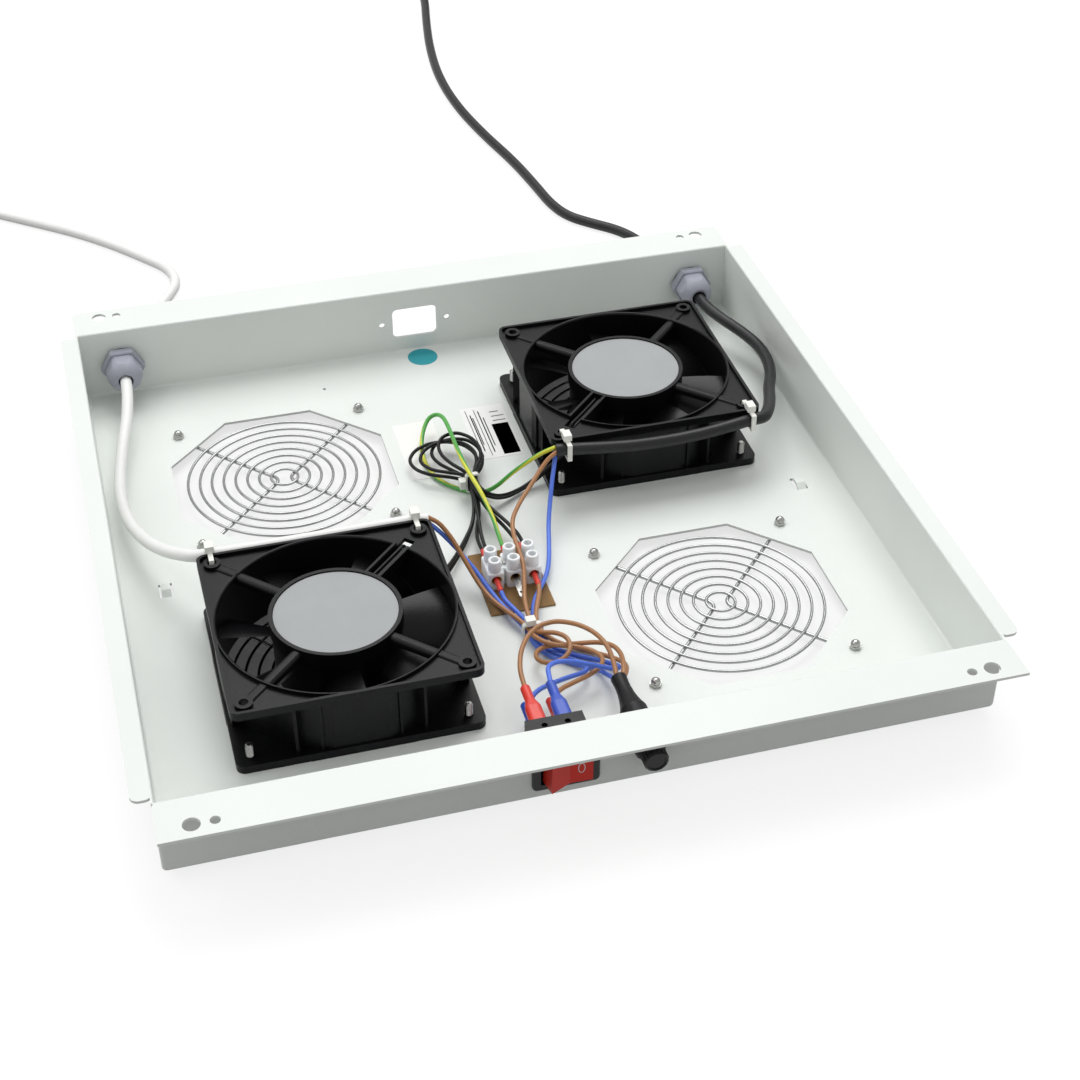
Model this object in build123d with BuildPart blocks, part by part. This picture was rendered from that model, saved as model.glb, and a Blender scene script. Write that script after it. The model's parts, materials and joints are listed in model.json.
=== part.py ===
from build123d import *
import math
import os

os.makedirs("parts", exist_ok=True)

# Sheet-metal tray, millimetres
tray_width = 399.0
tray_depth = 387.0
sheet = 1.5
wall_height = 43.5
bend_radius = 3.0
wall_corner_radius = 1.8
mount_flange = 23.5
side_flange = 8.5
flange_corner_radius = 4.0
flange_end_gap = 2.0
flange_lip_radius = 1.2

# Holes in the two mounting flanges
flange_hole_end = 15.2
flange_small_hole_end = 25.3
flange_hole_inset = 7.6
flange_hole_radius = 4.0
flange_small_hole_radius = 2.4

# Fan bays
bay_x = 99.2
bay_y = 83.6
bay_opening = 120.0
bolt_pitch = 104.8
floor_hole_radius = 2.2

# Finger guards
spoke_wire = 2.0
ring_wire = 1.6
ring_count = 8
first_ring_radius = 7.5
ring_pitch = 6.55
weld_depth = 0.3
eye_radius = 3.3
spoke_bend_radius = 5.0

# Screws: M4 into the fans, M3 with cap nuts at the spare bays
screw_radius = 1.95
screw_root_radius = 1.7
screw_head_radius = 3.8
screw_head_height = 2.6
screw_end_chamfer = 0.5
fan_screw_stand = 7.0
guard_screw_radius = 1.45
guard_screw_root_radius = 1.25
nut_bore_radius = 1.52
nut_flats = 5.5
nut_hex_height = 2.0
nut_height = 4.6
nut_screw_depth = 3.0

# Fan frame
fan_size = 119.5
fan_depth = 38.0
fan_corner_radius = 4.5
fan_flange = 4.5
fan_duct_edge = 2.35
fan_barrel_wall = 2.8
fan_barrel_inset = 0.95
fan_hole_radius = 2.3
fan_rim_width = 1.6
fan_rim_height = 2.0
fan_boss_radius = 4.3
fan_lip_width = 1.4
fan_mouth_fillet = 1.0
gusset_thickness = 1.6
gusset_spread = 17.0
gusset_reach = 65.5
rib_width = 1.5
rib_stand = 1.0
strut_width = 6.0
strut_height = 5.4
strut_top = 37.0
corner_rib_width = 5.0
corner_rib_height = 3.2
channel_width = 9.0
channel_wall = 1.4
channel_height = 6.4
channel_floor = 1.8
channel_exit = 66.0

# Fan motor and impeller
hub_radius = 32.5
hub_rim_width = 2.0
hub_recess = 1.0
hub_plate = 2.5
hub_skirt_drop = 8.5
label_radius = 30.2
label_thickness = 0.3
tube_outer_radius = 8.5
bearing_outer_radius = 6.5
bearing_length = 5.0
press_gap = 0.02
shaft_radius = 2.0
bearing_running_gap = 0.03
cup_radius = 31.5
cup_wall = 4.5
cup_floor = 2.5
cup_base = 3.0
cup_gap = 0.6
boss_radius = 5.0
boss_height = 3.0
air_gap = 0.4
blade_count = 7
blade_tip_gap = 0.8
blade_thickness = 1.8
core_height = 12.0
slot_width = 1.4
slot_depth = 4.0
slot_count = 12
winding_height = 18.0
winding_inner = 12.0
winding_outer = 22.0

# Cable glands, M16
gland_inset = 24.3
gland_height = 19.5
gland_hole_radius = 8.1
gland_thread_radius = 7.9
gland_bore_gap = 0.15
gland_flats = 22.0
gland_cap_flats = 19.0
gland_mouth_gap = 0.9
gland_flange = 5.0
gland_cap_length = 13.5
gland_thread_length = 9.5
seal_thickness = 1.5
seal_radius = 10.6
lock_nut_thickness = 4.5
spigot_radius = 7.4
spigot_length = 7.0

# Cables and wires
mains_diameter = 6.8
stat_diameter = 6.5
core_diameter = 2.4
lead_diameter = 2.0

# Inlet cut-out in the rear wall
inlet_width = 27.0
inlet_height = 19.5
inlet_corner = 3.0
inlet_pitch = 40.0
inlet_hole_radius = 1.75
inlet_centre_height = 19.5

# Rocker switch in the front wall
switch_x = -15.5
switch_height = 17.8
switch_cutout_width = 27.6
switch_cutout_height = 21.9
switch_fit_gap = 0.2
switch_body_depth = 19.5
bezel_width = 32.0
bezel_height = 25.0
bezel_thickness = 2.0
bezel_corner = 2.5
pocket_width = 24.4
pocket_height = 17.6
pocket_depth = 9.6
rocker_width = 21.0
rocker_length_gap = 0.3
rocker_tilt = 12.0
rocker_edge = 7.0
rocker_middle = 4.5
rocker_back = 2.0
rocker_pin_radius = 1.4
rocker_pin_length = 1.2
rocker_pin_gap = 0.05
pivot_inset = 2.2
terminal_spread = 6.2
terminal_rise = 5.5
blade_width = 6.3
blade_gauge = 0.8
blade_length = 8.0
sleeve_length = 27.0
sleeve_body_width = 8.2
sleeve_body_height = 5.6
sleeve_neck_radius = 2.4
sleeve_body_length = 12.0

# Fuse holder in the front wall
fuse_x = 24.4
fuse_height = 18.6
fuse_hole_radius = 6.35
fuse_body_radius = 6.2
fuse_ring_radius = 7.5
fuse_ring = 2.0
fuse_bore_radius = 4.6
fuse_body_depth = 23.0
fuse_bore_floor = 2.5
fuse_nut_flats = 16.0
fuse_nut_thickness = 4.0
fuse_cap_radius = 6.0
fuse_cap_length = 8.8
fuse_cap_gap = 0.3
fuse_stem_radius = 4.3
fuse_stem_length = 7.5
fuse_link_radius = 2.6
fuse_link_length = 20.0
fuse_socket_radius = 2.68
fuse_socket_depth = 6.0
shrink_overlap = 6.0
shrink_length = 30.5
shrink_radius = 6.9
shrink_waist_radius = 4.6
shrink_end_radius = 4.0

# Terminal strip
strip_y = -37.5
strip_pitch = 10.0
strip_depth = 17.0
strip_body_height = 10.2
strip_tower_height = 17.0
strip_tower_radius = 3.4
strip_tower_spread = 4.6
strip_pole_width = 8.6
strip_web_width = 9.0
strip_wire_height = 7.0
insert_radius = 2.7
insert_bore = 2.0
insert_length = 15.0
clamp_screw_radius = 1.5
tower_bore_radius = 2.1
fixing_screw_radius = 1.5
card_width = 34.0
card_depth = 50.5
card_thickness = 1.0
card_y = -39.8

# Floor features and stickers
lance_inset = 24.5
lance_length = 11.0
lance_strip = 5.0
lance_slit = 1.0
lance_rise = 2.4
pin_hole = (-62.0, 163.0)
pin_hole_radius = 1.0
sticker_thickness = 0.15
sticker_radius = 9.0
sticker_x = 2.0
sticker_wall_gap = 10.2
rating_label = (22.5, 94.5)
rating_label_size = (25.5, 52.0)
blank_label = (-19.5, 87.0)
blank_label_size = (24.0, 55.0)

# Cable ties
tie_width = 2.5
tie_thickness = 1.0
tie_gap = 0.45
tied_cable_gap = 0.7
tied_cable_drop = 0.4
tie_head = 4.4

# Put-away coils and far ends of the two free cords
coil_layers = 3
mains_coil_centre = (168.8, 789.0)
mains_coil_radius = 37.5
stat_coil_centre = (-309.8, 463.8)
stat_coil_radius = 34.0
plug_radius = 19.0
plug_length = 38.0
plug_sleeve_length = 26.0
plug_pin_radius = 2.4
plug_pin_length = 19.0
plug_pin_pitch = 19.0
bare_core_length = 30.0

# Levels that follow from the sizes above; the lowest screw heads stand at zero
floor_bottom = screw_head_height + spoke_wire
floor_top = floor_bottom + sheet
flange_top = floor_bottom + wall_height
inner_depth = tray_depth - 2 * sheet
front_inner = -inner_depth / 2
front_outer = -tray_depth / 2
rear_inner = inner_depth / 2
rear_outer = tray_depth / 2
fan_duct_radius = fan_size / 2 - fan_duct_edge
fan_barrel_radius = fan_duct_radius + fan_barrel_wall
fan_barrel_flat = fan_size - 2 * fan_barrel_inset
rib_reach = fan_barrel_radius + rib_stand
flange_hole_x = tray_width / 2 - flange_hole_end
flange_small_hole_x = tray_width / 2 - flange_small_hole_end
flange_hole_y = tray_depth / 2 + mount_flange - flange_hole_inset
gland_x = tray_width / 2 - gland_inset
lance_x = tray_width / 2 - lance_inset
fuse_body_end = front_outer + fuse_body_depth
fan_bays = {"left": (-bay_x, -bay_y, 0), "right": (bay_x, bay_y, 180)}
spare_bays = {"rear_left": (-bay_x, bay_y), "front_right": (bay_x, -bay_y)}
all_bays = [(-bay_x, -bay_y), (bay_x, bay_y), (-bay_x, bay_y), (bay_x, -bay_y)]


def save(builder, name):
    """Label a finished piece and write it."""
    builder.part.label = name
    export_step(builder.part, f"parts/{name}.step")


def save_copy(master, name, x, y, z=0.0, turn=0.0):
    """Write one placed copy of a repeated piece."""
    with BuildPart() as copy:
        with Locations(Location((x, y, z), (0, 0, turn))):
            add(master.part)
    save(copy, name)


def corner_radii(points):
    """Arc radius at each corner: 0.45 of the shorter run over the tangent of half the turn."""
    radii = []
    for before, corner, after in zip(points, points[1:], points[2:]):
        incoming = Vector(*corner) - Vector(*before)
        outgoing = Vector(*after) - Vector(*corner)
        turn = math.radians(incoming.get_angle(outgoing))
        shorter = min(incoming.length, outgoing.length)
        radii.append(0.45 * shorter / math.tan(turn / 2))
    return radii


def on_floor(route):
    """Lift a route whose heights are counted from the tray's floor."""
    return [(x, y, z + floor_top) for x, y, z in route]


def tube(points, diameter, name):
    """Round cord along straight runs joined by tangent arcs, added to the part in hand."""
    radii = corner_radii(points)
    with BuildLine() as path:
        FilletPolyline(*points, radius=radii)
    with BuildSketch(Plane(origin=path.line @ 0, z_dir=path.line % 0)) as section:
        Circle(diameter / 2)
    sweep(section.sketch, path=path.line)
    length = path.wires()[0].length
    ideal = math.pi * diameter**2 / 4 * length
    print(
        f"{name}: length {length:.1f}, tightest {min(radii):.1f},",
        f"radii {[round(radius, 1) for radius in radii]}, section x length {ideal:.0f}",
    )
    return ideal


def build_tray():
    """Folded steel tray: floor, walls, outward flanges, openings and holes."""
    with BuildPart() as tray:
        with BuildSketch(Plane.XY.offset(floor_bottom)):
            Rectangle(tray_width, tray_depth)
        extrude(amount=wall_height)
        fillet(tray.edges().filter_by(Axis.Z), radius=wall_corner_radius)
        fillet(tray.faces().sort_by(Axis.Z)[0].edges(), radius=bend_radius)
        offset(amount=-sheet, openings=tray.faces().sort_by(Axis.Z)[-1])
        for outward, reach, across, along in (
            (Vector(0, 1, 0), mount_flange, inner_depth / 2, tray_width),
            (Vector(0, -1, 0), mount_flange, inner_depth / 2, tray_width),
            (Vector(1, 0, 0), side_flange, tray_width / 2 - sheet, inner_depth - 2 * flange_end_gap),
            (Vector(-1, 0, 0), side_flange, tray_width / 2 - sheet, inner_depth - 2 * flange_end_gap),
        ):
            start = outward * across + Vector(0, 0, flange_top - sheet)
            with BuildSketch(Plane(origin=start, x_dir=outward.cross(Vector(0, 0, 1)), z_dir=(0, 0, 1))):
                Rectangle(along, reach + sheet, align=(Align.CENTER, Align.MIN))
                fillet(vertices().group_by(Axis.Y if outward.Y else Axis.X)[-1 if outward.X + outward.Y > 0 else 0],
                       radius=flange_corner_radius)
            extrude(amount=sheet)
        top = tray.faces().filter_by(Plane.XY).sort_by(Axis.Z)[-1]
        fillet(top.inner_wires()[0].edges(), radius=flange_lip_radius)
        cut_floor()
        cut_flange_holes()
        cut_rear_wall()
        cut_front_wall()
        for side in (-1, 1):
            add_lance(side * lance_x)
    save(tray, "tray")


def cut_floor():
    """Octagonal air openings and the screw holes of the four bays."""
    with BuildSketch(Plane.XY.offset(floor_bottom - 1)) as outline:
        with Locations(*all_bays):
            RegularPolygon(bay_opening / 2, 8, major_radius=False, rotation=22.5)
        for x, y in all_bays:
            with Locations((x, y)):
                with GridLocations(bolt_pitch, bolt_pitch, 2, 2):
                    Circle(floor_hole_radius)
        with Locations(pin_hole):
            Circle(pin_hole_radius)
        with Locations((-strip_pitch / 2, strip_y)):
            Circle(fixing_screw_radius + 0.1)
    extrude(outline.sketch, amount=sheet + 2, mode=Mode.SUBTRACT)


def cut_flange_holes():
    """One large and one small hole at each end of the front and rear flanges."""
    with BuildSketch(Plane.XY.offset(flange_top - sheet - 1)) as outline:
        with GridLocations(2 * flange_hole_x, 2 * flange_hole_y, 2, 2):
            Circle(flange_hole_radius)
        with GridLocations(2 * flange_small_hole_x, 2 * flange_hole_y, 2, 2):
            Circle(flange_small_hole_radius)
    extrude(outline.sketch, amount=sheet + 2, mode=Mode.SUBTRACT)


def cut_rear_wall():
    """Inlet cut-out with its two screw holes, and the two gland holes."""
    with BuildSketch(Plane.XZ.offset(-rear_outer - 1)) as outline:
        with Locations((0, floor_top + inlet_centre_height)):
            RectangleRounded(inlet_width, inlet_height, inlet_corner)
            with GridLocations(inlet_pitch, 1, 2, 1):
                Circle(inlet_hole_radius)
        with Locations((0, floor_top + gland_height)):
            with GridLocations(2 * gland_x, 1, 2, 1):
                Circle(gland_hole_radius)
    extrude(outline.sketch, amount=sheet + 2, mode=Mode.SUBTRACT)


def cut_front_wall():
    """Openings for the rocker switch and the fuse holder."""
    with BuildSketch(Plane.XZ.offset(-front_outer + 1)) as outline:
        with Locations((switch_x, floor_top + switch_height)):
            Rectangle(switch_cutout_width, switch_cutout_height)
        with Locations((fuse_x, floor_top + fuse_height)):
            Circle(fuse_hole_radius)
    extrude(outline.sketch, amount=-sheet - 2, mode=Mode.SUBTRACT)


def add_lance(x):
    """Bridge lance: a strip of the floor pressed up between two slits, to take a tie."""
    with BuildSketch(Plane.XY.offset(floor_bottom - 1)) as outline:
        with Locations((x, 0)):
            Rectangle(lance_strip + 2 * lance_slit, lance_length)
    extrude(outline.sketch, amount=sheet + 2, mode=Mode.SUBTRACT)
    half = lance_length / 2
    shoulder = half - lance_rise * 1.4
    with BuildSketch(Plane.YZ.offset(x - lance_strip / 2)) as outline:
        with BuildLine():
            Polyline(
                (-half - 0.5, floor_bottom), (-half, floor_bottom), (-shoulder, floor_bottom + lance_rise),
                (shoulder, floor_bottom + lance_rise), (half, floor_bottom), (half + 0.5, floor_bottom),
                (half + 0.5, floor_top), (half, floor_top), (shoulder, floor_top + lance_rise),
                (-shoulder, floor_top + lance_rise), (-half, floor_top), (-half - 0.5, floor_top), close=True,
            )
        make_face()
    extrude(outline.sketch, amount=lance_strip)


def build_guards():
    """Wire finger guards under the floor: two hooked spoke wires under eight rings."""
    spoke_z = screw_head_height + spoke_wire / 2
    ring_z = spoke_z + spoke_wire / 2 - weld_depth + ring_wire / 2
    reach = bolt_pitch / 2 - eye_radius * math.sin(math.radians(45))
    with BuildPart() as guard:
        for side in (-1, 1):
            with BuildLine() as spoke:
                FilletPolyline(
                    (side * reach, reach, spoke_z), (side * spoke_wire, 0, spoke_z), (side * reach, -reach, spoke_z),
                    radius=spoke_bend_radius,
                )
            with BuildSketch(Plane(origin=spoke.line @ 0, z_dir=spoke.line % 0)):
                Circle(spoke_wire / 2)
            sweep(path=spoke.line)
        for index in range(ring_count):
            with Locations((0, 0, ring_z)):
                Torus(first_ring_radius + index * ring_pitch, ring_wire / 2)
        with Locations((0, 0, spoke_z)):
            with GridLocations(bolt_pitch, bolt_pitch, 2, 2):
                Torus(eye_radius, spoke_wire / 2)
    for name, (x, y) in {
        "left_fan": all_bays[0], "right_fan": all_bays[1], "rear_left": all_bays[2], "front_right": all_bays[3],
    }.items():
        save_copy(guard, f"finger_guard_{name}", x, y)


def build_screws():
    """Pan-head screws from below: long ones into the fans, short ones into cap nuts."""
    fan_spots = [(x, y) for x, y, turn in fan_bays.values()]
    spare_spots = list(spare_bays.values())
    for name, bays, clamp, stand, radius, root in (
        ("fan_screws", fan_spots, fan_flange, fan_screw_stand, screw_radius, screw_root_radius),
        ("guard_screws", spare_spots, 0, nut_screw_depth, guard_screw_radius, guard_screw_root_radius),
    ):
        with BuildPart() as screw:
            with BuildSketch():
                Circle(screw_head_radius)
            extrude(amount=screw_head_height)
            fillet(screw.faces().sort_by(Axis.Z)[0].edges(), radius=screw_head_height * 0.45)
            with BuildSketch():
                Rectangle(0.9, 4.2)
                Rectangle(4.2, 0.9)
            extrude(amount=1.4, mode=Mode.SUBTRACT)
            with BuildSketch(Plane.XY.offset(screw_head_height)):
                Circle(radius)
            extrude(amount=floor_top + clamp - screw_head_height)
            with BuildSketch(Plane.XY.offset(screw_head_height)):
                Circle(root)
            extrude(amount=floor_top + clamp + stand - screw_head_height)
            chamfer(screw.faces().sort_by(Axis.Z)[-1].edges(), length=screw_end_chamfer)
        with BuildPart() as group:
            for x, y in bays:
                with Locations((x, y)):
                    with GridLocations(bolt_pitch, bolt_pitch, 2, 2):
                        add(screw.part)
        save(group, name)

    with BuildPart() as nut:
        with BuildSketch():
            RegularPolygon(nut_flats / 2, 6, major_radius=False)
        extrude(amount=nut_hex_height)
        with BuildSketch(Plane.XZ):
            with BuildLine():
                dome = nut_flats / 2 - 0.2
                shoulder = nut_height - dome
                slant = dome * math.sqrt(0.5)
                Polyline((0, 1), (dome, 1), (dome, shoulder))
                ThreePointArc((dome, shoulder), (slant, shoulder + slant), (0, nut_height))
                Line((0, nut_height), (0, 1))
            make_face()
        revolve(axis=Axis.Z)
        with BuildSketch():
            Circle(nut_bore_radius)
        extrude(amount=nut_screw_depth + 0.5, mode=Mode.SUBTRACT)
    with BuildPart() as nuts:
        for x, y in spare_spots:
            with Locations((x, y, floor_top)):
                with GridLocations(bolt_pitch, bolt_pitch, 2, 2):
                    add(nut.part)
    save(nuts, "cap_nuts")


def build_fan_frame():
    """Die-cast frame: two flanges, barrel, gussets, ribs, struts, lead channel and motor hub."""
    corner_angles = (45, 135, 225, 315)
    with BuildPart() as frame:
        for z in (0, fan_depth - fan_flange):
            with BuildSketch(Plane.XY.offset(z)):
                RectangleRounded(fan_size, fan_size, fan_corner_radius)
            extrude(amount=fan_flange)
        with BuildSketch():
            Circle(fan_barrel_radius)
            Rectangle(fan_barrel_flat, fan_barrel_flat, mode=Mode.INTERSECT)
        extrude(amount=fan_depth)
        with BuildSketch(Plane.XY.offset(fan_flange / 2)):
            for angle in corner_angles:
                for turn in (angle - gusset_spread, angle + gusset_spread):
                    with PolarLocations((fan_barrel_radius + gusset_reach) / 2 - 1, 1, start_angle=turn):
                        Rectangle(gusset_reach - fan_barrel_radius + 2, gusset_thickness)
                for turn in (angle - 27, angle + 27):
                    with PolarLocations(rib_reach - 1.5, 1, start_angle=turn):
                        Rectangle(3, rib_width)
        extrude(amount=fan_depth - fan_flange)
        with BuildSketch(Plane.XY.offset(fan_depth - fan_rim_height)):
            recess = fan_size - 2 * fan_rim_width
            RectangleRounded(recess, recess, fan_corner_radius - fan_rim_width)
            Circle(fan_duct_radius + fan_lip_width, mode=Mode.SUBTRACT)
        extrude(amount=fan_rim_height, mode=Mode.SUBTRACT)
        with BuildSketch(Plane.XY.offset(fan_depth - fan_flange)):
            with GridLocations(bolt_pitch, bolt_pitch, 2, 2):
                Circle(fan_boss_radius)
        extrude(amount=fan_flange)
        with BuildSketch():
            Circle(fan_duct_radius)
        extrude(amount=fan_depth, mode=Mode.SUBTRACT)
        with BuildSketch():
            with GridLocations(bolt_pitch, bolt_pitch, 2, 2):
                Circle(fan_hole_radius)
        extrude(amount=fan_depth, mode=Mode.SUBTRACT)
        mouth = frame.edges().filter_by(GeomType.CIRCLE).filter_by(
            lambda edge: abs(edge.radius - fan_duct_radius) < 0.01 and edge.length > 20
        )
        fillet(mouth.group_by(Axis.Z)[-1] + mouth.group_by(Axis.Z)[0], radius=fan_mouth_fillet)
        add_hub()
        for angle in corner_angles[1:]:
            add_strut(angle)
        add_lead_channel(corner_angles[0])
    return frame


def radial_plane(angle, radius, z):
    """Plane square to a radius, its x along the tangent and its y upwards."""
    direction = Vector(math.cos(math.radians(angle)), math.sin(math.radians(angle)), 0)
    tangent = Vector(-direction.Y, direction.X, 0)
    return Plane(origin=direction * radius + Vector(0, 0, z), x_dir=tangent, z_dir=direction)


def add_hub():
    """Motor plate with its rim, skirt and the tube that carries the bearings."""
    plate_top = fan_depth - hub_recess
    plate_bottom = plate_top - hub_plate
    inner = bearing_outer_radius + press_gap
    tube_bottom = cup_base + cup_floor + boss_height + cup_gap
    rim_inner = hub_radius - hub_rim_width
    with BuildSketch(Plane.XZ) as outline:
        with BuildLine():
            Polyline(
                (0, plate_top), (0, plate_bottom), (inner, plate_bottom), (inner, tube_bottom),
                (tube_outer_radius, tube_bottom), (tube_outer_radius, plate_bottom), (rim_inner, plate_bottom),
                (rim_inner, fan_depth - hub_skirt_drop), (hub_radius, fan_depth - hub_skirt_drop),
                (hub_radius, fan_depth), (rim_inner, fan_depth), (rim_inner, plate_top), close=True,
            )
        make_face()
    revolve(outline.sketch, axis=Axis.Z)


def add_strut(angle):
    """Round-topped strut from the hub to the duct, and its rib across the flange to the screw boss."""
    start = hub_radius - 0.8
    with BuildSketch(radial_plane(angle, start, strut_top - strut_height / 2)) as outline:
        RectangleRounded(strut_width, strut_height, strut_height * 0.42)
    extrude(outline.sketch, amount=fan_duct_radius + 1.5 - start)
    boss_edge = bolt_pitch / math.sqrt(2) - fan_boss_radius + 0.5
    with BuildSketch(radial_plane(angle, fan_duct_radius + 0.5, strut_top - corner_rib_height / 2)) as outline:
        RectangleRounded(corner_rib_width, corner_rib_height, corner_rib_height * 0.4)
    extrude(outline.sketch, amount=boss_edge - fan_duct_radius - 0.5)


def add_lead_channel(angle):
    """Open channel for the motor leads, with a slot where they drop behind the barrel."""
    start = hub_radius - 0.8
    with BuildSketch(radial_plane(angle, start, fan_depth - channel_height / 2)) as outline:
        Rectangle(channel_width, channel_height)
    extrude(outline.sketch, amount=fan_duct_radius + 1.5 - start)
    open_width = channel_width - 2 * channel_wall
    open_height = channel_height - channel_floor
    with BuildSketch(radial_plane(angle, hub_radius, fan_depth - open_height / 2 + 0.5)) as outline:
        Rectangle(open_width, open_height + 1)
    extrude(outline.sketch, amount=channel_exit - hub_radius, mode=Mode.SUBTRACT)


def build_impeller():
    """Rotor cup with twisted blades lofted from hub to tip."""
    mid_z = cup_base + (fan_depth - hub_skirt_drop - cup_base) / 2
    sections = ((cup_radius - 5, 30.0, 44.0, 3.4), (44.0, 37.0, 35.0, 3.6), (fan_duct_radius + 3, 43.0, 27.0, 3.4))
    with BuildPart() as blade:
        for radius, chord, pitch, camber in sections:
            with BuildSketch(Plane(origin=(radius, 0, mid_z), x_dir=(0, 1, 0), z_dir=(1, 0, 0))):
                lean = math.radians(pitch)
                run = chord / 2 * math.cos(lean)
                rise = chord / 2 * math.sin(lean)
                across = (-math.sin(lean), math.cos(lean))
                near = camber - blade_thickness / 2
                far = camber + blade_thickness / 2
                with BuildLine():
                    ThreePointArc((-run, -rise), (across[0] * far, across[1] * far), (run, rise))
                    ThreePointArc((run, rise), (across[0] * near, across[1] * near), (-run, -rise))
                make_face()
        loft()
    tip_radius = fan_duct_radius - blade_tip_gap
    with BuildPart() as impeller:
        with PolarLocations(0, blade_count):
            add(blade.part)
        with BuildSketch(Plane.XY.offset(cup_base)):
            Circle(tip_radius)
            Circle(cup_radius - cup_wall / 2, mode=Mode.SUBTRACT)
        extrude(amount=fan_depth - hub_skirt_drop - cup_gap - cup_base, mode=Mode.INTERSECT)
        inner = cup_radius - cup_wall
        top = fan_depth - hub_skirt_drop - cup_gap
        floor = cup_base + cup_floor
        with BuildSketch(Plane.XZ):
            with BuildLine():
                Polyline(
                    (0, cup_base), (cup_radius - 1, cup_base), (cup_radius, cup_base + 1), (cup_radius, top),
                    (inner, top), (inner, floor), (boss_radius, floor), (boss_radius, floor + boss_height),
                    (shaft_radius, floor + boss_height), (shaft_radius, cup_base + 1), (0, cup_base + 1), close=True,
                )
            make_face()
        revolve(axis=Axis.Z)
    return impeller


def build_motor():
    """Shaft, the two bearings, and the stator pressed on the bearing tube."""
    floor = cup_base + cup_floor
    plate_bottom = fan_depth - hub_recess - hub_plate
    lower = floor + boss_height + cup_gap + 1
    upper = plate_bottom - 1.5 - bearing_length
    with BuildPart() as shaft:
        with BuildSketch(Plane.XY.offset(cup_base + 1)):
            Circle(shaft_radius)
        extrude(amount=upper + bearing_length + 0.6 - cup_base - 1)
        chamfer(shaft.faces().sort_by(Axis.Z)[-1].edges(), length=0.4)
    with BuildPart() as bearings:
        with BuildSketch(Plane.XZ):
            for z in (lower, upper):
                bore = shaft_radius + bearing_running_gap
                with BuildLine():
                    Polyline(
                        (bore, z), (bore + 1.2, z), (bore + 1.5, z + 0.3), (bearing_outer_radius - 1.2, z + 0.3),
                        (bearing_outer_radius - 0.9, z), (bearing_outer_radius, z),
                        (bearing_outer_radius, z + bearing_length), (bearing_outer_radius - 0.9, z + bearing_length),
                        (bearing_outer_radius - 1.2, z + bearing_length - 0.3),
                        (bore + 1.5, z + bearing_length - 0.3), (bore + 1.2, z + bearing_length),
                        (bore, z + bearing_length), close=True,
                    )
                make_face()
        revolve(axis=Axis.Z)
    core_radius = cup_radius - cup_wall - air_gap
    middle = (floor + plate_bottom) / 2
    with BuildPart() as stator:
        with BuildSketch(Plane.XY.offset(middle - core_height / 2)):
            Circle(core_radius)
            with PolarLocations(core_radius - slot_depth / 2 + 0.5, slot_count):
                Rectangle(slot_depth + 1, slot_width, mode=Mode.SUBTRACT)
        extrude(amount=core_height)
        with BuildSketch(Plane.XZ):
            with Locations(((winding_inner + winding_outer) / 2, middle)):
                RectangleRounded(winding_outer - winding_inner, winding_height, 2.5)
        revolve(axis=Axis.Z)
        with BuildSketch():
            Circle(tube_outer_radius + press_gap)
        extrude(amount=fan_depth, mode=Mode.SUBTRACT)
    with BuildPart() as label:
        with BuildSketch(Plane.XY.offset(fan_depth - hub_recess)):
            Circle(label_radius)
        extrude(amount=label_thickness)
    return shaft, bearings, stator, label


def build_fans():
    """Both fans, the right one turned half round."""
    frame = build_fan_frame()
    impeller = build_impeller()
    shaft, bearings, stator, label = build_motor()
    for side, (x, y, turn) in fan_bays.items():
        for master, piece in (
            (frame, "frame"), (impeller, "impeller"), (shaft, "shaft"), (bearings, "bearings"),
            (stator, "stator"), (label, "hub_label"),
        ):
            save_copy(master, f"{side}_fan_{piece}", x, y, floor_top, turn)


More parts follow.
